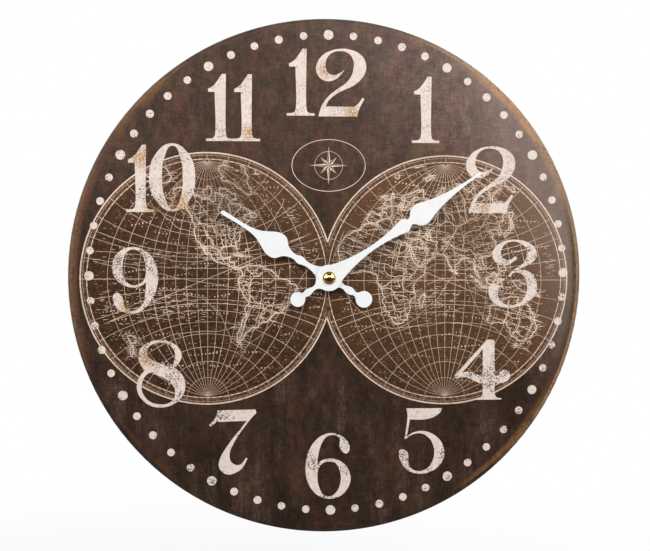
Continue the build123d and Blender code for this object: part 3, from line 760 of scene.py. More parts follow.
def path_mesh(paths):
    """A mesh of points in rows. A path that ends where it starts is closed."""
    points, edges = [], []
    for path in paths:
        closed = math.dist(path[0], path[-1]) < 1e-6
        first = len(points)
        points += [(x, y, 0.0) for x, y in (path[:-1] if closed else path)]
        edges += [(i, i + 1) for i in range(first, len(points) - 1)]
        if closed:
            edges.append((len(points) - 1, first))
    return plain_mesh(points, edges)


def grow(name, mesh, tree, **values):
    """Runs a geometry tree on a mesh and keeps the result as a plain piece of the print."""
    draft = bpy.data.objects.new(name + "_draft", mesh)
    modifier = draft.modifiers.new("tree", "NODES")
    modifier.node_group = tree
    for item in tree.interface.items_tree:
        label = item.name.replace(" ", "_")
        if item.in_out == "INPUT" and label in values:
            modifier[item.identifier] = values[label]
    piece = settle(draft, name)
    print(name, "faces", len(piece.data.polygons))


print("trees can run on paths and points")


# %% The pen line tree
def make_pen_line():
    """A flat nib swept along the edges of a mesh."""
    tree, start = geometry_tree("pen_line", "Width, Height, Ink")
    curve = node(tree, "GeometryNodeMeshToCurve", Mesh=start["Geometry"])
    level = node(tree, "GeometryNodeSetCurveNormal", {"mode": "Z_UP"}, Curve=curve.outputs[0])
    nib = node(tree, "GeometryNodeCurvePrimitiveQuadrilateral", Width=start["Width"], Height=start["Height"])
    swept = node(tree, "GeometryNodeCurveToMesh", Curve=level.outputs[0], Profile_Curve=nib.outputs[0],
                 Fill_Caps=True)
    return end_tree(tree, swept.outputs[0], start["Ink"], Translation=half_up(tree, start["Height"]))


pen_line = make_pen_line()


def draw(name, paths, ink, width, height):
    """Draws paths, in page millimetres, as one inked piece."""
    grow(name, path_mesh(paths), pen_line, Width=width, Height=height, Ink=ink)


print("pen line", len(pen_line.nodes), "nodes")


# %% [markdown]
# ## Numerals
# The hours are upright numerals of the old book kind, with thick stems, hairlines and ball ends. A font
# would bring its own style, so each figure is a closed Bezier outline drawn in millimetres on the page.
# A point marked ! is a corner, and all others are smooth. A semicolon starts the next outline, such as a
# hole.

# %% Outlines of the figures
figures = {
    "0": """
        16 44.8, 27 37.5, 31 22.6, 27 7.5, 16.4 0.4, 5.4 7.5, 1.2 22.6, 5.2 37.5;
        16.4 43.2, 11.2 36, 9.6 22.6, 11.4 9, 16.4 2, 21.2 9, 22.8 22.6, 21.2 36""",
    "1": """
        12.8 45!, 10.2 45!, 7.4 40.8, 4.6 37.4, 1.1 35.2!, 1.3 33.3!, 5.5 33.3!, 5.6 5.6, 4.6 3.7,
        2.6 3.1, -0.2 3!, -0.2 1.4!, 18 1.4!, 18 3!, 15.4 3.1, 13.6 3.8, 12.8 5.8""",
    "2": """
        20 31.8!, 16.4 29.3, 12.6 28.1, 9.4 29.2, 7.5 32.2, 7.3 36, 8.9 40, 12.2 42.8, 16.5 43.7,
        20.8 43.2, 24 40.8, 25.7 37, 25.7 32.6, 24.2 27.6, 20.8 23, 15.2 19, 9.8 14.8, 5.6 9.4, 3.4 4.4,
        2.6 1!, 28.3 1!, 29.4 5.6, 32.9 12.5!, 31.6 13.4!, 29 9.7, 26.4 7.5!, 7.3 7.5!, 9.4 11.4,
        13.6 15.2, 19.4 18.3, 25.6 21.2, 31 25.8, 33.9 31.4, 33.4 37.4, 29.8 42, 24 44.6, 17.4 45.3,
        10.4 43.8, 5 40.6, 1.9 36.2, 1 31.6, 2.4 27.6, 5.6 24.8, 9.6 24, 13.6 25.2, 17 27.8""",
    "3": """
        19.5 33.8, 16.6 30.6, 12.2 28.4, 7.8 28.9, 4.4 31.6, 3 35.6, 4.2 39.8, 7.8 43.2, 13.2 45.3,
        19.4 45.6, 25.6 44.4, 30.6 41.2, 33 36.6, 32 32.6, 28.6 29.6, 24 27.4, 20.4 25.5!, 24.6 25.4,
        29 23.4, 32.2 19.4, 33.2 14, 31.4 8.6, 27.2 4.2, 21.6 1.2, 15.4 0.2, 9.6 0.7, 4.8 2.9, 1.6 6.4,
        0.4 10.4, 0.8 14, 2.6 16.1, 5 16.1, 6.8 14, 6.7 10.4, 7.4 6.4, 10.4 3.2, 15 1.9, 20.2 2.7, 24 5.8,
        26.2 10.8, 26.3 16, 24.6 20.6, 21.6 23.2, 18.6 23.7, 16.4 22.7, 15.2 21.2, 14 20.9, 14.7 23,
        17.2 25.4, 21 27.8, 24.4 30.8, 25.9 34, 25.9 38, 24 41.8, 20 44, 15.4 44.3, 11.6 42.6, 9.3 39.5,
        8.6 36.2, 9.9 33.4, 12.8 32.2, 16 32.8, 18.2 34.4""",
    "4": """
        22.2 41.2!, 27.3 41.2!, 27.6 17.1!, 29.8 17, 31.2 17.8, 30.4 19.5, 32.8 20.9, 36.2 20, 38.1 17,
        36.6 13.9, 33 12.2, 27.7 11.7!, 27.7 5, 28.8 2.6, 32.2 1.8!, 32.2 0.9!, 14.2 0.9!, 14.2 1.8!,
        18.4 2.5, 19.5 5!, 19.5 11.8!, 16 12.6, 12 14.6, 8 16.1, 4.4 15.9, 0.7 15.2!, 0.2 17!;
        19.4 34.9!, 5.2 18.8!, 8.6 19.8, 12.6 19.2, 16.4 17.6, 19.4 16.9!""",
    "5": """
        5.6 44.8!, 29.6 44.8!, 28.4 42.2, 25.4 39.6, 21 37.9, 15 37.2, 7.9 37.4!, 6 25.9!, 8.6 27.8,
        12 29.2, 16.2 29.6, 21.2 28.5, 26.2 25.4, 29.8 20.8, 31.2 15.4, 30.2 9.8, 26.8 5.2, 21.4 2,
        15 0.9, 9.4 1.8, 4.6 5, 1.7 9.8, 0.6 14.8, 1.4 17.1, 3.8 17.2, 6.2 15.4, 7 12.2, 7 8.6, 8.6 5,
        12 2.9, 16.2 2.9, 20.2 5, 23.2 9.4, 24.4 15, 23.4 20.6, 20.4 25.2, 16 27.8, 11.6 27.8, 8 26.4,
        5.5 24.1!, 4.4 24.4!, 6.2 37.6, 6.3 40.6""",
    "6": """
        18.4 44.7, 23.6 43.3, 27.8 40.4, 30.1 36.2, 29.9 32.8, 28 31, 25.4 32.2, 23.7 35, 23.5 38,
        23.8 40.4, 21.8 42.6, 18.4 43.4, 15 42.3, 12.2 39, 10.2 33.8, 9.2 28.8, 8.6 23.8!, 11 26.2,
        14.6 27.5, 18.6 27.7, 23.2 26.4, 27.6 23, 30.3 18, 30.8 13, 29 7.8, 25.4 3.6, 20.4 1.2, 15.4 0.9,
        10.4 2.4, 6 6, 2.4 12, 0.9 19.5, 1.4 27, 3.8 34.6, 8 40.4, 13 43.7;
        16.6 25.7, 13 25, 10.2 22.4, 8.9 18.4, 9 13, 10.2 8, 12.6 4, 16 2.4, 19.4 3.4, 22.4 6.8, 24 11.4,
        24.2 16.6, 22.8 21.6, 20.2 25""",
    "7": """
        5.7 43.7!, 30.6 44!, 31.3 41.8!, 27.8 38.2, 23.8 33.2, 19 26.4, 15.6 20.6, 13.9 16.4, 13.5 12.6,
        14.4 9.6, 17 7.6, 19.8 7.3, 22 8.8, 24.2 12.1!, 25.3 11.5!, 23.8 8.2, 21.4 4.8, 17 2, 12.6 1,
        8.4 3, 6.3 7, 7.2 11.8, 10.4 17.6, 15 24.2, 20.4 30.8, 24.8 36.5!, 5 36!, 1.2 33!, 0.1 34!,
        4.5 39.2""",
    "8": """
        16.6 45.3, 22.2 44.2, 27 41, 29.7 36, 28.6 31.2, 24.8 27.4!, 28.6 24.2, 31.4 19.6, 32 14,
        30.4 8.8, 26.4 4.4, 21 1.7, 15.4 1, 9.4 2.2, 4.2 6, 0.9 11.6, 0.8 17.2, 2.6 21.8, 5.6 25.4!,
        2.8 29.8, 1.7 35, 3.6 40.4, 8.6 44;
        16.4 43.6, 12.2 43.1, 8.6 41, 7.1 37.4, 8.6 34.2, 13 31, 18.6 29, 23.2 28.1, 24.9 31.8, 25.5 36,
        24 39.8, 20.6 42.7;
        8.6 24!, 6 21.6, 4.2 18.4, 3.6 13.6, 5.4 8.6, 9.6 4.6, 15.4 3.1, 20.8 3.7, 24.6 6.8, 25.3 11.6,
        23.4 16.2, 19 19.8, 13.4 22.4""",
    "9": """
        14.5 44, 20.4 42.6, 25.4 38.4, 28.8 32, 30 24.8, 29 17, 26 10, 21.6 4.4, 16.6 1.3, 11 0.9,
        5.6 2.6, 2 6.2, 0.6 10.6, 1.6 13.5, 4 14.1, 6.4 12.2, 7.5 8.8, 8.2 5.2, 10.2 2.9, 13.6 2.2,
        17.6 4, 20.4 8.4, 21.6 13.8, 22.2 21.2!, 19.4 18.9, 15 17.6, 10 18.2, 5 20.8, 1.6 25, 0.2 30.4,
        1.2 36, 4.4 40.6, 9 43.2;
        14.4 42.6, 11.8 42, 9.4 40.2, 7.6 36, 7 30, 7.8 24.6, 10 20.9, 13.6 19.2, 17.6 19.9, 20.6 22.2,
        22 26.2, 22 31, 20.6 36.8, 18 41.2""",
}
print("figures drawn", "".join(figures))

# %% Where each hour's figures stand on the page
numeral_height = 0.07
curve_steps = 6
numeral_places = {
    "12": [(-27.0, 104.8), (-9.0, 104.8)], "1": [(55.7, 87.4)], "2": [(90.8, 41.6)],
    "3": [(106.9, -20.8)], "4": [(84.2, -83.1)], "5": [(46.7, -132.3)], "6": [(-15.9, -148.1)],
    "7": [(-78.7, -131.1)], "8": [(-126.1, -86.1)], "9": [(-141.4, -23.9)],
    "10": [(-131.6, 41.6), (-118.0, 42.9)], "11": [(-79.7, 87.9), (-62.7, 87.9)],
}


def read_points(text):
    """Reads 'x y, x y!' as (x, y, is a corner)."""
    points = []
    for word in text.split(","):
        x, y = word.replace("!", "").split()
        points.append((float(x), float(y), "!" in word))
    return points


def add_outline(curve, text, corner):
    """Adds one closed outline to a curve, moved to a corner on the page."""
    points = read_points(text)
    spline = curve.splines.new("BEZIER")
    spline.bezier_points.add(len(points) - 1)
    for knot, (x, y, sharp) in zip(spline.bezier_points, points):
        knot.co = (corner[0] + x, corner[1] + y, numeral_height / 2)
        knot.handle_left_type = knot.handle_right_type = "VECTOR" if sharp else "AUTO"
    spline.use_cyclic_u = True


def draw_numeral(label, corners):
    """One hour: its figures' outlines, filled and given the thickness of the ink."""
    curve = bpy.data.curves.new("numeral", "CURVE")
    curve.dimensions = "2D"
    curve.fill_mode = "BOTH"
    curve.resolution_u = curve_steps
    curve.extrude = numeral_height / 2
    for figure, corner in zip(label, corners):
        for outline in figures[figure].split(";"):
            add_outline(curve, outline, corner)
    settle(bpy.data.objects.new("numeral_draft", curve), "numeral_" + label, numeral_ink)


for label, corners in numeral_places.items():
    draw_numeral(label, corners)
print("numerals", len(numeral_places))

# %% [markdown]
# ## Minute dots
# Sixty round dots ring the dial, and every fifth is larger. That is a rule, so a geometry tree makes them:
# a circle of sixty points, a disc at each, and a size chosen by the point's number.

# %% Minute dots
dots_centre = (0.9, 2.15)
dots_turn = math.radians(0.25)
dots_radius = 156.9
hour_dot = 3.15
minute_dot = 2.55
disc_sides = 28


def random_value(seed, low, high):
    """A random number for each point, with a fixed seed."""
    made = node(tree_of(seed), "FunctionNodeRandomValue", {"data_type": "FLOAT"}, Seed=seed)
    feed(made.inputs[2], low)
    feed(made.inputs[3], high)
    return made.outputs[1]


def make_dot_ring():
    """Sixty discs in a ring, every fifth one larger."""
    tree, start = geometry_tree("dot_ring", "Radius, Hour Dot, Minute Dot, Height, Rotation, Centre, "
                                            "Seed, Ink")
    circle = node(tree, "GeometryNodeMeshCircle", Vertices=60, Radius=start["Radius"])
    disc = node(tree, "GeometryNodeMeshCylinder", Vertices=disc_sides, Radius=1.0, Depth=start["Height"])
    number = node(tree, "GeometryNodeInputIndex").outputs[0]
    fifth = calc("LESS_THAN", calc("MODULO", number, 5.0), 0.5)
    step = calc("SUBTRACT", start["Hour Dot"], start["Minute Dot"])
    size = calc("ADD", start["Minute Dot"], times(fifth, step))
    size = times(size, random_value(start["Seed"], 0.95, 1.05))
    dots = node(tree, "GeometryNodeInstanceOnPoints", Points=circle.outputs["Mesh"],
                Instance=disc.outputs["Mesh"], Scale=vector_of(tree, size, size, 1.0))
    return end_tree(tree, dots.outputs[0], start["Ink"], Translation=start["Centre"],
                    Rotation=start["Rotation"])


grow("minute_dots", plain_mesh(), make_dot_ring(), Radius=dots_radius, Hour_Dot=hour_dot,
     Minute_Dot=minute_dot, Height=numeral_height, Rotation=(0, 0, math.radians(90) + dots_turn),
     Centre=(*dots_centre, numeral_height / 2), Seed=4, Ink=numeral_ink)

# %% [markdown]
# ## The two hemispheres
# The chart is the traditional pair of hemispheres in the stereographic projection: half a globe is seen from
# the far end of the axis through its middle, and every meridian and parallel is part of a circle. A short
# formula places any point of the globe, so the net is worked out line by line and nothing has to be traced.

# %% Stereographic projection
def globe(longitude, latitude):
    """A point of a half globe of radius 1, from its longitude off the middle and its latitude, in degrees."""
    turn, rise = math.radians(longitude), math.radians(latitude)
    share = 1 + math.cos(rise) * math.cos(turn)
    return (math.cos(rise) * math.sin(turn) / share, math.sin(rise) / share)


def on_page(side, longitude, latitude):
    """A point of one hemisphere on the page."""
    x, y, _ = hemispheres[side]
    u, v = globe(longitude, latitude)
    return (x + u * chart_radius, y + v * chart_radius)


def ring(centre, radius, steps=180, start=0.0, end=360.0):
    """A circle, or part of one, as a path."""
    turns = [math.radians(start + (end - start) * i / steps) for i in range(steps + 1)]
    return [(centre[0] + radius * math.cos(t), centre[1] + radius * math.sin(t)) for t in turns]


for side in hemispheres:
    print("north pole of the", side, "at", [round(v, 2) for v in on_page(side, 0, 90)], "mm")


# %% The net of meridians and parallels
net_lines = range(-80, 81, 10)
half_turn = range(-90, 91, 6)
tropic = 23.5
net, strong = [], []
for side in hemispheres:
    for longitude in net_lines:
        net.append([on_page(side, longitude, latitude) for latitude in half_turn])
    for latitude in net_lines:
        row = [on_page(side, longitude, latitude) for longitude in half_turn]
        (strong if latitude == 0 else net).append(row)
    for latitude in (-tropic, tropic):
        strong.append([on_page(side, longitude, latitude) for longitude in half_turn])
    slope = 1 if side == "west" else -1
    strong.append([on_page(side, longitude, slope * tropic * math.sin(math.radians(longitude)))
                   for longitude in half_turn])
draw("chart_net", net, fine_ink, width=0.27, height=0.02)
draw("chart_circles", strong, fine_ink, width=0.36, height=0.025)

# %% [markdown]
# ## Borders and scale
# Each hemisphere has a bold outer ring, a beaded inner ring and a ladder of ticks between them. The two
# outer rings run into each other above and below the hub, so each outer ring, hairline and ladder stops where
# it meets the other hemisphere. The thin inner rings are whole circles.

# %% Borders
inner_radius = chart_radius + 0.8
hairline_radius = border_radius - 1.6


def clear_arc(side, radius):
    """A ring of one hemisphere, without the part inside the other one."""
    x, y, _ = hemispheres[side]
    other_x, other_y, _ = hemispheres["east" if side == "west" else "west"]
    apart = math.dist((x, y), (other_x, other_y))
    towards_other = math.degrees(math.atan2(other_y - y, other_x - x))
    share = (apart ** 2 + radius ** 2 - border_radius ** 2) / (2 * apart * radius)
    hidden = math.degrees(math.acos(min(1.0, share)))
    return ring((x, y), radius, 180, towards_other + hidden, towards_other + 360 - hidden)


outer_rings = [clear_arc(side, border_radius) for side in hemispheres]
inner_rings = [ring(middle[:2], inner_radius) for middle in hemispheres.values()]
hairlines = [clear_arc(side, hairline_radius) for side in hemispheres]
draw("border_outer", outer_rings, border_ink, width=0.95, height=0.05)
draw("border_inner", inner_rings, coast_ink, width=0.36, height=0.045)
draw("border_hairline", hairlines, fine_ink, width=0.2, height=0.045)


# %% Scale ticks
def make_tick_ring():
    """Ticks round one hemisphere, without those inside the other one."""
    tree, start = geometry_tree("tick_ring", "Count, Radius, Length, Width, Height, Centre, Other Centre, "
                                             "Clear, Ink")
    circle = node(tree, "GeometryNodeMeshCircle", Vertices=start["Count"], Radius=start["Radius"])
    size = vector_of(tree, start["Length"], start["Width"], start["Height"])
    tick = node(tree, "GeometryNodeMeshCube", Size=size)
    at = node(tree, "GeometryNodeInputPosition").outputs[0]
    outward = node(tree, "FunctionNodeAlignRotationToVector", {"axis": "X"}, Vector=at)
    apart = vector_calc("DISTANCE", vector_calc("ADD", at, start["Centre"]), start["Other Centre"])
    ticks = node(tree, "GeometryNodeInstanceOnPoints", Points=circle.outputs[0], Instance=tick.outputs[0],
                 Rotation=outward.outputs[0], Selection=calc("GREATER_THAN", apart, start["Clear"]))
    return end_tree(tree, ticks.outputs[0], start["Ink"], Translation=start["Centre"])


tick_ring = make_tick_ring()
tick_height = 0.05
# Each ladder: its count, radius, length, width and ink
ladders = {
    "long": (36, (border_radius + chart_radius) / 2, 4.0, 0.32, fine_ink),
    "short": (180, border_radius - 0.8, 1.4, 0.16, fine_ink),
    "beads": (120, inner_radius, 0.6, 2.0, border_ink),
}
for side, other in (("west", "east"), ("east", "west")):
    centre, other_centre = [(*hemispheres[half][:2], tick_height / 2) for half in (side, other)]
    for kind, (count, radius, length, width, ink) in ladders.items():
        grow(f"scale_{kind}_{side}", plain_mesh(), tick_ring, Count=count, Radius=radius, Length=length,
             Width=width, Height=tick_height, Centre=centre, Other_Centre=other_centre,
             Clear=border_radius, Ink=ink)

# %% [markdown]
# ## Coasts
# The land is a generic outline, given by a few dozen longitudes and latitudes for each coast, from memory of
# where the corners lie. A pen never draws straight between two points, so each stretch is roughened: its
# middle is pushed aside, then the middles of the halves, with a fixed seed.

# %% Coasts, by longitude and latitude
coasts = """
-168 66, -166 68, -157 71, -141 70, -128 70, -115 68, -108 68, -96 67, -94 72, -88 70, -82 68, -87 64,
  -94 61, -93 58, -85 55, -82 52, -79 52, -78 58, -78 62, -70 61, -65 59, -60 55, -56 52, -66 50, -65 48,
  -61 46, -66 44, -70 43, -71 41, -75 39, -76 35, -81 31, -80 26, -82 28, -84 30, -90 29, -95 29, -97 26,
  -97 22, -94 18, -91 19, -87 21, -88 16, -84 15, -83 10, -79 9, -82 8, -86 11, -92 14, -97 16, -105 20,
  -109 25, -113 31, -115 30, -110 23, -113 26, -117 32, -121 35, -124 40, -124 47, -128 51, -133 56,
  -140 60, -148 60, -154 58, -162 55, -158 58, -165 61, -161 64, -168 66;
-79 9, -75 11, -71 12, -62 11, -58 7, -51 4, -48 0, -40 -3, -35 -6, -37 -12, -39 -17, -42 -23, -48 -26,
  -52 -33, -57 -35, -57 -38, -62 -39, -65 -43, -67 -47, -69 -51, -66 -55, -72 -53, -75 -48, -73 -41,
  -73 -36, -71 -30, -70 -20, -76 -14, -80 -6, -81 -3, -79 1, -77 5, -79 9;
-45 60, -51 64, -54 68, -55 72, -60 76, -70 78, -60 81, -40 83, -22 82, -19 77, -22 71, -32 68, -40 65,
  -45 60;
-65 62, -72 63, -78 66, -72 68, -86 71, -80 74, -70 70, -62 66, -65 62;
-100 73, -110 75, -120 73, -115 70, -104 70, -100 73;
-6 36, 3 37, 10 37, 11 34, 19 30, 22 33, 30 31, 34 31, 33 28, 36 23, 38 18, 43 12, 51 12, 47 4, 41 -2,
  39 -7, 41 -15, 35 -20, 35 -24, 32 -29, 26 -34, 19 -35, 15 -27, 12 -17, 13 -8, 9 -1, 9 4, 4 6, -4 5,
  -8 4, -13 8, -17 14, -17 21, -13 28, -9 32, -6 36;
-6 36, -9 37, -9 43, -2 43, -1 46, -5 48, 2 51, 5 53, 8 54, 8 57, 11 56, 10 54, 14 54, 20 55, 24 59,
  30 60, 22 60, 21 63, 25 65, 22 66, 17 61, 18 59, 16 56, 13 55, 11 59, 5 59, 6 62, 14 68, 25 71, 40 67,
  33 67, 40 64, 44 66, 46 68, 54 68, 60 69, 68 69, 67 73, 73 71, 75 72, 81 73, 88 75, 104 78, 113 76,
  113 73, 130 71, 140 73, 160 70, 170 70, 180 68, 178 65, 170 60, 163 58, 163 56, 157 51, 156 57, 163 61,
  155 59, 143 59, 135 55, 141 53, 140 48, 135 43, 130 42, 128 39, 129 36, 126 34, 125 39, 121 40, 118 39,
  122 37, 119 35, 122 31, 121 28, 117 23, 110 21, 106 20, 109 12, 105 9, 101 13, 99 10, 103 4, 104 1,
  100 6, 98 10, 98 16, 94 17, 91 22, 87 21, 80 15, 80 11, 77 8, 73 17, 72 21, 67 25, 57 26, 50 30, 48 30,
  51 25, 56 26, 59 22, 52 16, 45 13, 43 14, 39 21, 35 28, 34 31, 36 36, 31 36, 27 37, 27 40, 33 42, 41 41,
  38 47, 33 46, 31 46, 28 43, 29 41, 24 40, 24 38, 21 37, 19 42, 13 45, 16 41, 18 40, 16 38, 12 42, 9 44,
  4 43, 0 40, -1 37, -6 36;
49 46, 47 43, 50 40, 50 37, 54 37, 53 41, 51 44, 53 46, 49 46;
-5 50, 1 51, 2 53, -2 55, -3 58, -6 58, -3 54, -5 52, -5 50; -6 52, -10 52, -8 55, -6 54, -6 52;
-22 64, -14 65, -16 66, -24 66, -22 64; 49 -12, 50 -16, 47 -25, 44 -24, 44 -17, 49 -12;
80 9, 82 7, 80 6, 80 9; 95 5, 104 -2, 105 -6, 100 -1, 95 5; 105 -7, 114 -8, 113 -7, 106 -6, 105 -7;
109 1, 113 3, 117 7, 119 4, 116 -3, 111 -3, 109 1; 120 1, 125 1, 121 -1, 123 -5, 120 -5, 119 -2, 120 1;
121 18, 124 13, 126 7, 122 7, 120 14, 121 18;
131 -1, 138 -2, 147 -6, 150 -10, 143 -8, 138 -8, 133 -4, 131 -1;
130 32, 136 34, 140 36, 141 41, 145 43, 142 45, 140 41, 137 37, 132 35, 130 32;
142 46, 144 49, 142 54, 142 46;
114 -22, 122 -18, 126 -14, 130 -12, 136 -12, 135 -15, 140 -17, 142 -11, 146 -19, 153 -26, 150 -37,
  145 -38, 140 -38, 136 -34, 131 -31, 124 -33, 116 -35, 115 -31, 114 -22;
145 -41, 148 -41, 147 -43, 145 -41; 173 -35, 178 -38, 175 -41, 173 -39, 173 -35;
173 -41, 171 -44, 167 -46, 168 -44, 173 -41; -85 22, -80 23, -74 20, -78 20, -85 22;
-74 20, -69 19, -72 18, -74 20; 52 71, 58 71, 68 77, 60 76, 55 73, 52 71;
12 78, 20 77, 26 80, 15 80, 12 78; -59 48, -53 47, -56 51, -59 48
""".split(";")
print("coasts", len(coasts))


# %% Lines of the globe on the page
def roughen(points, rounds, share, dice):
    """Pushes the middle of every stretch aside, a few times over."""
    for _ in range(rounds):
        rough = [points[0]]
        for (x, y), (next_x, next_y) in zip(points, points[1:]):
            push = dice.uniform(-share, share)
            rough.append(((x + next_x) / 2 - (next_y - y) * push, (y + next_y) / 2 + (next_x - x) * push))
            rough.append((next_x, next_y))
        points = rough
    return points


def chart_paths(texts, rounds, share, seed):
    """Roughened lines of longitude and latitude, cut to the two hemispheres, as page paths."""
    dice = random.Random(seed)
    paths = []
    for text in texts:
        line = roughen([(x, y) for x, y, _ in read_points(text)], rounds, share, dice)
        for side, (_, _, middle) in hemispheres.items():
            run = []
            for longitude, latitude in line:
                off = (longitude - middle + 180) % 360 - 180
                if abs(off) <= 90:
                    run.append(on_page(side, off, latitude))
                elif run:
                    paths.append(run)
                    run = []
            paths.append(run)
    return [path for path in paths if len(path) > 1]


coast_paths = chart_paths(coasts, rounds=3, share=0.2, seed=11)
draw("chart_coasts", coast_paths, coast_ink, width=0.54, height=0.04)

# %% [markdown]
# ## Rivers, frontiers and sea tracks
# Inside the coasts run rivers and frontiers, and ships' tracks cross the seas. They are the same kind of
# line with a thinner nib, drawn from a handful of points each.

# %% Rivers, frontiers and tracks
rivers = """
-50 0, -58 -3, -66 -3, -73 -5, -77 -9; -58 -34, -58 -27, -54 -21, -49 -17; -61 9, -67 7, -68 3;
-90 29, -91 34, -90 39, -93 45; -90 39, -97 42, -104 48, -111 47; -135 69, -124 65, -115 61, -110 57;
-66 49, -72 46, -77 44, -83 42, -88 47; -97 26, -103 29, -107 36; -93 58, -98 54, -106 52;
31 31, 32 25, 31 20, 33 15, 32 8, 31 2; 12 -6, 18 -2, 24 2, 27 -6; 6 5, 5 11, 0 16, -6 14, -10 10;
36 -18, 30 -16, 25 -18, 22 -13; 29 45, 24 44, 19 46, 12 48; 48 46, 45 49, 49 54, 42 57, 34 57;
69 67, 66 62, 75 60, 83 54; 83 71, 88 65, 90 58, 95 52; 127 72, 124 65, 130 61, 115 58, 107 54;
140 53, 135 48, 126 50, 117 49; 118 38, 111 35, 109 40, 101 36; 121 31, 113 30, 105 29, 99 28;
106 10, 104 17, 100 22; 90 23, 84 25, 78 29; 67 25, 71 30, 74 35; 48 30, 43 36, 40 38;
139 -36, 143 -34, 148 -35; 8 54, 13 50, 17 49; 4 52, 7 49, 9 47; -1 46, 2 47, 4 45
""".split(";")
frontiers = """
-123 49, -110 49, -95 49, -84 46; -117 32, -108 31, -100 28, -97 26; -141 70, -141 60, -133 56;
-114 49, -112 42, -105 37, -103 32; -104 49, -102 43, -95 40, -94 33, -93 29;
-84 46, -87 38, -85 35, -85 30; -75 45, -80 40, -82 36, -81 31; -72 12, -72 7, -67 2, -70 -4;
-80 -4, -75 -2, -70 -4, -72 -10, -69 -15, -70 -18; -60 5, -62 2, -67 2;
-69 -15, -62 -20, -58 -20, -55 -26, -57 -30, -53 -33; -62 -22, -66 -22, -68 -26, -70 -35, -72 -50;
10 37, 9 31, 12 24, 24 20, 36 22; -17 15, -8 15, 2 14, 14 13, 23 11, 33 10; 25 31, 25 22, 24 16, 23 11;
14 13, 15 7, 19 4, 30 4; 42 11, 40 5, 35 3, 30 4, 29 -3, 30 -8, 40 -11; 12 -6, 20 -7, 22 -12, 33 -15;
14 -17, 20 -18, 21 -25, 26 -26, 31 -24; -2 43, 3 42; 7 44, 7 48, 3 51; 14 46, 17 48, 23 48, 27 45;
30 46, 26 50, 23 54, 24 57, 28 60; 12 54, 15 51, 18 50, 23 48; 44 40, 48 38, 54 37, 61 37, 61 30, 62 25;
36 36, 42 37, 45 36, 46 31; 60 51, 70 54, 80 51, 87 49, 98 51, 110 50, 120 53, 127 50, 131 46;
74 37, 80 31, 88 28, 97 28, 101 22; 68 36, 73 37, 80 42, 87 49; 66 30, 70 33, 74 37;
88 28, 92 42, 98 43, 110 43, 118 47; 101 22, 105 23, 108 21; 98 20, 100 14, 99 10; 129 -15, 129 -32;
138 -16, 138 -26, 141 -26, 141 -38; 129 -26, 141 -26; -62 60, -66 56, -72 55, -78 52;
55 68, 58 60, 55 52, 48 47; 66 67, 70 60, 76 55; 100 75, 104 66, 98 58, 98 51;
140 72, 142 66, 135 58, 128 55; 45 13, 48 18, 55 20; 35 29, 40 31, 47 29
""".split(";")
tracks = """
-22 12, -32 2, -38 -12, -46 -30, -62 -56, -80 -54, -95 -35, -115 -18, -140 -14, -165 -16, -190 -20;
-76 22, -60 30, -45 38, -25 46; -110 18, -130 16, -155 18, -180 16, -198 14;
-82 -8, -100 -6, -125 -2, -150 4, -175 8, -198 9; -74 -42, -90 -46, -120 -48, -150 -46, -180 -45, -198 -44;
-125 42, -145 44, -165 50, -180 52;
-18 26, -19 10, -14 -2, -4 -20, 8 -34, 20 -38, 40 -34, 60 -20, 74 0, 79 6;
20 -38, 50 -42, 80 -40, 105 -38, 118 -37, 140 -42, 158 -40;
52 -4, 66 2, 78 2, 94 0, 104 -8, 116 -12, 130 -10, 150 -14; 110 10, 118 16, 130 20, 145 20, 158 18;
48 10, 60 16, 70 16; 90 4, 96 -12, 104 -26, 114 -35
""".split(";")


def on_chart(x, y, reach):
    """Whether a point of the page lies within a reach of either hemisphere's middle."""
    return min(math.dist((x, y), middle[:2]) for middle in hemispheres.values()) < reach


def side_streams(paths, spacing, reach, seed):
    """Small wandering streams that leave the paths to either side, as page paths."""
    dice = random.Random(seed)
    streams = []
    for path in paths:
        for (x, y), (next_x, next_y) in list(zip(path, path[1:]))[::spacing]:
            turn = math.atan2(next_y - y, next_x - x) + dice.choice((-1, 1)) * dice.uniform(0.5, 1.3)
            stream = [(x, y)]
            for _ in range(dice.randint(3, 7)):
                turn += dice.uniform(-0.6, 0.6)
                x, y = x + reach * math.cos(turn), y + reach * math.sin(turn)
                if on_chart(x, y, chart_radius - 1):
                    stream.append((x, y))
            streams.append(stream)
    return [stream for stream in streams if len(stream) > 1]


print("rivers", len(rivers), "frontiers", len(frontiers), "tracks", len(tracks))


# %% Draw them
river_paths = chart_paths(rivers, rounds=3, share=0.16, seed=23)
frontier_paths = chart_paths(frontiers, rounds=3, share=0.12, seed=37)
track_paths = chart_paths(tracks, rounds=2, share=0.05, seed=41)
stream_paths = (side_streams(river_paths, spacing=6, reach=0.9, seed=29)
                + side_streams(frontier_paths, spacing=10, reach=0.8, seed=31)
                + side_streams(coast_paths, spacing=11, reach=1.0, seed=33))
draw("chart_rivers", river_paths, coast_ink, width=0.34, height=0.03)
draw("chart_streams", stream_paths, fine_ink, width=0.26, height=0.03)
draw("chart_frontiers", frontier_paths, coast_ink, width=0.42, height=0.032)
draw("chart_tracks", track_paths, fine_ink, width=0.28, height=0.028)

# %% [markdown]
# ## Hills, towns and shading
# Engravers marked hills with short strokes along each range, shaded coasts with short level lines and filled
# land and sea with small strokes, town dots and rows of marks. A stroke along a path and a mark on a
# scattered point differ only in where their points come from, so two small trees share the part that sets a
# mark.

# %% Mark trees
mark_inputs = "Length, Width, Height, Turn, Seed, Ink"
mark_sides = 6


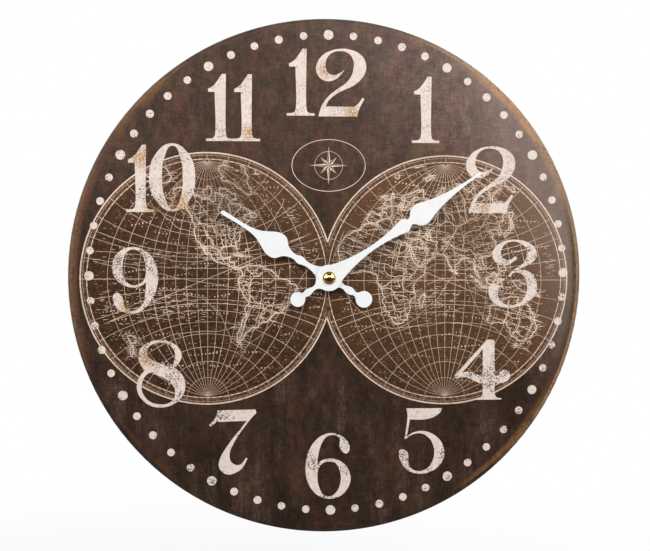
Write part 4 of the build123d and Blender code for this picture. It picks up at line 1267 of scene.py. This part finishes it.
def set_marks(tree, start, points, shape):
    """Sets a flat mark on every point, with a random turn and length, and ends the tree."""
    seed = start["Seed"]
    turn = random_value(seed, times(start["Turn"], -1.0), start["Turn"])
    reach = random_value(calc("ADD", seed, 1.0), 0.45, 1.25)
    size = vector_of(tree, times(start["Length"], reach), start["Width"], start["Height"])
    marks = node(tree, "GeometryNodeInstanceOnPoints", Points=points, Instance=shape, Scale=size,
                 Rotation=vector_of(tree, z=turn))
    return end_tree(tree, marks.outputs[0], start["Ink"], Translation=half_up(tree, start["Height"]))


def make_path_strokes():
    """Short strokes set out along paths."""
    tree, start = geometry_tree("path_strokes", "Spacing, " + mark_inputs)
    curve = node(tree, "GeometryNodeMeshToCurve", Mesh=start["Geometry"])
    spaced = node(tree, "GeometryNodeResampleCurve", {"mode": "LENGTH"}, Curve=curve.outputs[0],
                  Length=start["Spacing"])
    stroke = node(tree, "GeometryNodeMeshCube", Size=(1, 1, 1))
    return set_marks(tree, start, spaced.outputs[0], stroke.outputs[0])


def make_scattered_marks():
    """Small flat marks on loose points."""
    tree, start = geometry_tree("scattered_marks", mark_inputs)
    disc = node(tree, "GeometryNodeMeshCylinder", Vertices=mark_sides, Radius=0.5, Depth=1.0)
    return set_marks(tree, start, start["Geometry"], disc.outputs["Mesh"])


path_strokes = make_path_strokes()
scattered_marks = make_scattered_marks()
print("mark trees ready")

# %% Hills and coast shading
ranges = """
-150 63, -135 60, -122 52, -114 46, -107 38, -105 30, -100 21, -92 15; -84 34, -78 39, -70 45;
-72 10, -76 2, -78 -5, -70 -16, -69 -25, -70 -35, -72 -45, -71 -52; -44 -18, -42 -12; -62 4, -66 5;
70 36, 78 33, 86 28, 95 28; 72 42, 82 43, 92 44; 60 52, 59 58, 62 66; 6 45, 11 47, 15 47; 40 44, 48 41;
-8 31, 0 34, 8 35; 37 14, 40 8, 36 2; 29 -30, 31 -25; 145 -17, 150 -26, 148 -36;
88 50, 98 52, 110 52, 122 56, 140 62; 74 18, 77 10; 8 60, 14 65, 20 69; 45 36, 52 30; 36 40, 42 39;
-1 43, 2 42; 22 42, 25 45; 10 7, 14 5; 20 22, 17 20; 104 20, 107 14; 100 34, 104 30; 138 36, 140 39
""".split(";")
range_paths = chart_paths(ranges, rounds=2, share=0.1, seed=53)
grow("chart_hills", path_mesh(range_paths), path_strokes, Spacing=1.2, Length=1.7, Width=0.24,
     Height=0.034, Turn=1.3, Seed=7, Ink=coast_ink)
grow("chart_shading", path_mesh(coast_paths), path_strokes, Spacing=1.7, Length=6.0, Width=0.2,
     Height=0.022, Turn=0.05, Seed=9, Ink=fine_ink)


# %% Points on land and at sea
coast_rings = [read_points(text) for text in coasts]
chart_reach = 0.98
zone_reach = 0.96


def is_land(longitude, latitude):
    """Whether a point of the globe lies inside an odd number of coasts."""
    crossings = 0
    for coast in coast_rings:
        for (x, y, _), (next_x, next_y, _) in zip(coast, coast[1:]):
            if (y > latitude) != (next_y > latitude):
                crossings += longitude < x + (latitude - y) * (next_x - x) / (next_y - y)
    return crossings % 2 == 1


def scatter(rows, run, step, on_land, seed):
    """A mesh of short rows of points, spread over the land or the sea of both hemispheres."""
    dice = random.Random(seed)
    points = []
    while rows:
        x, y, middle = hemispheres[dice.choice(("west", "east"))]
        u, v = dice.uniform(-1, 1), dice.uniform(-1, 1)
        reach = math.hypot(u, v)
        if 0.01 < reach < chart_reach:
            turn = 2 * math.atan(reach)
            latitude = math.degrees(math.asin(v * math.sin(turn) / reach))
            longitude = middle + math.degrees(math.atan2(u * math.sin(turn), reach * math.cos(turn)))
            if is_land((longitude + 180) % 360 - 180, latitude) == on_land:
                rows -= 1
                tilt = dice.uniform(-0.25, 0.25)
                across, up = step * math.cos(tilt) / chart_radius, step * math.sin(tilt) / chart_radius
                row = [(u + across * i, v + up * i) for i in range(dice.randint(1, run))]
                points += [(x + a * chart_radius, y + b * chart_radius, 0.0) for a, b in row
                           if math.hypot(a, b) < chart_reach]
    return plain_mesh(points)


def gather(zones, seed):
    """A mesh of points gathered around places of the page."""
    dice = random.Random(seed)
    points = []
    for x, y, wide, high, count in zones:
        for _ in range(count):
            point = (dice.gauss(x, wide / 2), dice.gauss(y, high / 2), 0.0)
            if on_chart(*point[:2], zone_reach * chart_radius):
                points.append(point)
    return plain_mesh(points)


print("coast points", sum(len(coast) for coast in coast_rings))


# %% Marks on land and at sea
mark_height = 0.026
# Each place of the page where marks gather: its middle, width, height and count
islands = [(-107, -20, 38, 13, 150), (-97, 12.6, 50, 8, 90), (-146, -16, 9, 13, 26), (-23, 41, 7, 6, 24),
           (-15, 16, 9, 6, 24), (69, -17, 26, 16, 100), (116, -10, 20, 16, 90), (149, 9, 5, 8, 16),
           (12, 12, 9, 18, 50), (138, -34, 9, 11, 30), (60, 22, 24, 10, 36)]
knots = [(-130, -43, 10, 11, 60), (-43, 47, 14, 11, 34), (-120, 45, 12, 8, 26), (112, -2, 16, 12, 60)]
# Each kind of mark: its points, length, width, turn and ink
marks = {
    "chart_land_rows": (scatter(460, 8, 0.95, True, seed=61), 0.75, 0.5, 0.1, coast_ink),
    "chart_land_strokes": (scatter(420, 1, 0.0, True, seed=64), 2.4, 0.2, 0.2, fine_ink),
    "chart_land_ticks": (scatter(420, 1, 0.0, True, seed=67), 1.0, 0.22, 1.5, fine_ink),
    "chart_towns": (scatter(360, 1, 0.0, True, seed=71), 0.7, 0.6, 3.0, coast_ink),
    "chart_sea_rows": (scatter(110, 8, 2.4, False, seed=79), 1.0, 1.1, 0.2, fine_ink),
    "chart_soundings": (scatter(1500, 1, 0.0, False, seed=73), 1.5, 0.2, 0.1, fine_ink),
    "chart_islands": (gather(islands, seed=83), 3.4, 0.24, 0.08, coast_ink),
    "chart_knots": (gather(knots, seed=89), 2.2, 0.26, 3.0, coast_ink),
}
for name, (points, length, width, turn, ink) in marks.items():
    grow(name, points, scattered_marks, Length=length, Width=width, Height=mark_height, Turn=turn,
         Seed=len(name), Ink=ink)

# %% [markdown]
# ## The oval
# Between the twelve and the hub stands a thin oval frame. It holds a plain eight-pointed compass star, the
# ornament that charts have always carried: each ray is split down its middle, one half inked.

# %% The oval and its star
oval_centre = (0.3, 73.7)
oval_half = (24.2, 17.0)
long_ray, short_ray = 12.6, 7.4
star_waist = 2.6
star_ring = 9.2
star_height = 0.045

oval = [(oval_centre[0] + oval_half[0] * x, oval_centre[1] + oval_half[1] * y)
        for x, y in ring((0, 0), 1.0, 96)]
draw("oval_frame", [oval], border_ink, width=0.45, height=0.05)


def flat_piece(name, polygons, height, ink):
    """Flat polygons with the thickness of the ink, as one piece."""
    shape = bmesh.new()
    for polygon in polygons:
        base = shape.faces.new([shape.verts.new((x, y, 0.0)) for x, y in polygon])
        top = bmesh.ops.extrude_face_region(shape, geom=[base])["geom"]
        raised = [v for v in top if isinstance(v, bmesh.types.BMVert)]
        bmesh.ops.translate(shape, vec=(0, 0, height), verts=raised)
    bmesh.ops.recalc_face_normals(shape, faces=shape.faces)
    mesh = bpy.data.meshes.new(name)
    shape.to_mesh(mesh)
    shape.free()
    stand_up(mesh, name, ink)


def polar(radius, turn):
    """A point of the star, from its middle, with the turn clockwise from straight up."""
    angle = math.radians(turn)
    return (oval_centre[0] + radius * math.sin(angle), oval_centre[1] + radius * math.cos(angle))


halves, edges = [], []
for length, first in ((long_ray, 0.0), (short_ray, 45.0)):
    for quarter in range(4):
        turn = first + 90 * quarter
        tip, left, right = polar(length, turn), polar(star_waist, turn - 22.5), polar(star_waist, turn + 22.5)
        halves.append([oval_centre, right, tip])
        edges.append([left, tip, right])
flat_piece("compass_star", halves, star_height, border_ink)
draw("compass_lines", edges + [ring(oval_centre, star_ring, 48)], border_ink, width=0.25, height=0.04)

# %% [markdown]
# ## Floor, light and world
# The clock is shown against white, lit softly from all round and by two lamps high in front of it, one on
# each side. A third lamp stands behind it, for the views of its back. The lamps are kept at a plain level,
# so colours show about as they were written. The white comes from the floor and the world as the camera
# sees them, not from more light. In mirrors the room in front is dim, which gives the brass its depth.

# %% Floor
floor_level = -0.32
floor_size = 40.0
floor_grey = (0.9, 0.9, 0.9, 1)
shadow_near = 0.35
shadow_far = 0.95


def blend_shaders(share, first, second, surface):
    """Shows a second shader over a first one, by a share, on a surface."""
    feed(surface, node(tree_of(share), "ShaderNodeMixShader", None, share, first, second).outputs[0])


def make_floor():
    """A pale floor that keeps a soft shadow near the clock and joins the white background further off."""
    made, shader, where = new_material("pale_floor")
    finish(shader, Base_Color=floor_grey, Roughness=0.9)
    tree = made.node_tree
    flags = tree.nodes.new("ShaderNodeLightPath").outputs
    far = span(vector_calc("LENGTH", where), shadow_near, shadow_far, 0.78, 1.0)
    seen = times(flags["Is Camera Ray"], far)
    mirrored = span(part_of(where, "Y"), -0.3, 0.3, 0.03, 0.5)
    glow = node(tree, "ShaderNodeEmission", Strength=calc("MAXIMUM", flags["Is Camera Ray"], mirrored))
    blend_shaders(calc("MAXIMUM", seen, flags["Is Glossy Ray"]), tree.nodes["Principled BSDF"].outputs[0],
                  glow.outputs[0], tree.nodes["Material Output"].inputs[0])
    mesh = bpy.data.meshes.new("floor")
    half = floor_size / 2
    corners = [(x * half, y * half, floor_level) for x, y in ((-1, -1), (1, -1), (1, 1), (-1, 1))]
    mesh.from_pydata(corners, [], [(0, 1, 2, 3)])
    mesh.materials.append(made)
    floor = bpy.data.objects.new("floor", mesh)
    bpy.context.scene.collection.objects.link(floor)


make_floor()
print("floor at", floor_level)

# %% World and lamps
ambient = 0.1
white = (1, 1, 1, 1)


def make_world():
    """Soft light from all round. The background is white, also in metal, and the room in front is dim."""
    world = bpy.data.worlds.new("studio")
    world.use_nodes = True
    tree = world.node_tree
    soft = tree.nodes["Background"]
    feed(soft.inputs["Color"], white)
    feed(soft.inputs["Strength"], ambient)
    flags = tree.nodes.new("ShaderNodeLightPath").outputs
    direction = tree.nodes.new("ShaderNodeTexCoord").outputs["Generated"]
    behind = span(part_of(direction, "Y"), -0.2, 0.2, 0.05, 1.0)
    aside = span(calc("ABSOLUTE", part_of(direction, "X")), 0.45, 0.7, 0.0, 2.6)
    mirrored = times(flags["Is Glossy Ray"], calc("MAXIMUM", behind, aside))
    direct = calc("MAXIMUM", flags["Is Camera Ray"], flags["Is Transmission Ray"])
    plain = node(tree, "ShaderNodeBackground", Color=white, Strength=calc("MAXIMUM", direct, mirrored))
    blend_shaders(calc("MAXIMUM", direct, flags["Is Glossy Ray"]), soft.outputs[0], plain.outputs[0],
                  tree.nodes["World Output"].inputs[0])
    bpy.context.scene.world = world


def add_lamp(name, at, size, watts):
    """A square soft lamp that faces the middle of the dial."""
    lamp = bpy.data.objects.new(name, bpy.data.lights.new(name, "AREA"))
    lamp.data.size = size
    lamp.data.energy = watts
    lamp.location = at
    aim = Vector(at) - Vector((0, dial_front, 0))
    lamp.rotation_euler = aim.to_track_quat("Z", "Y").to_euler()
    bpy.context.scene.collection.objects.link(lamp)


make_world()
add_lamp("lamp_high_right", (0.36, -0.95, 0.52), size=0.26, watts=6.2)
add_lamp("lamp_high_left", (-0.42, -0.95, 0.52), size=0.3, watts=5.8)
add_lamp("lamp_behind", (0.7, 1.1, 0.6), size=0.8, watts=15.0)
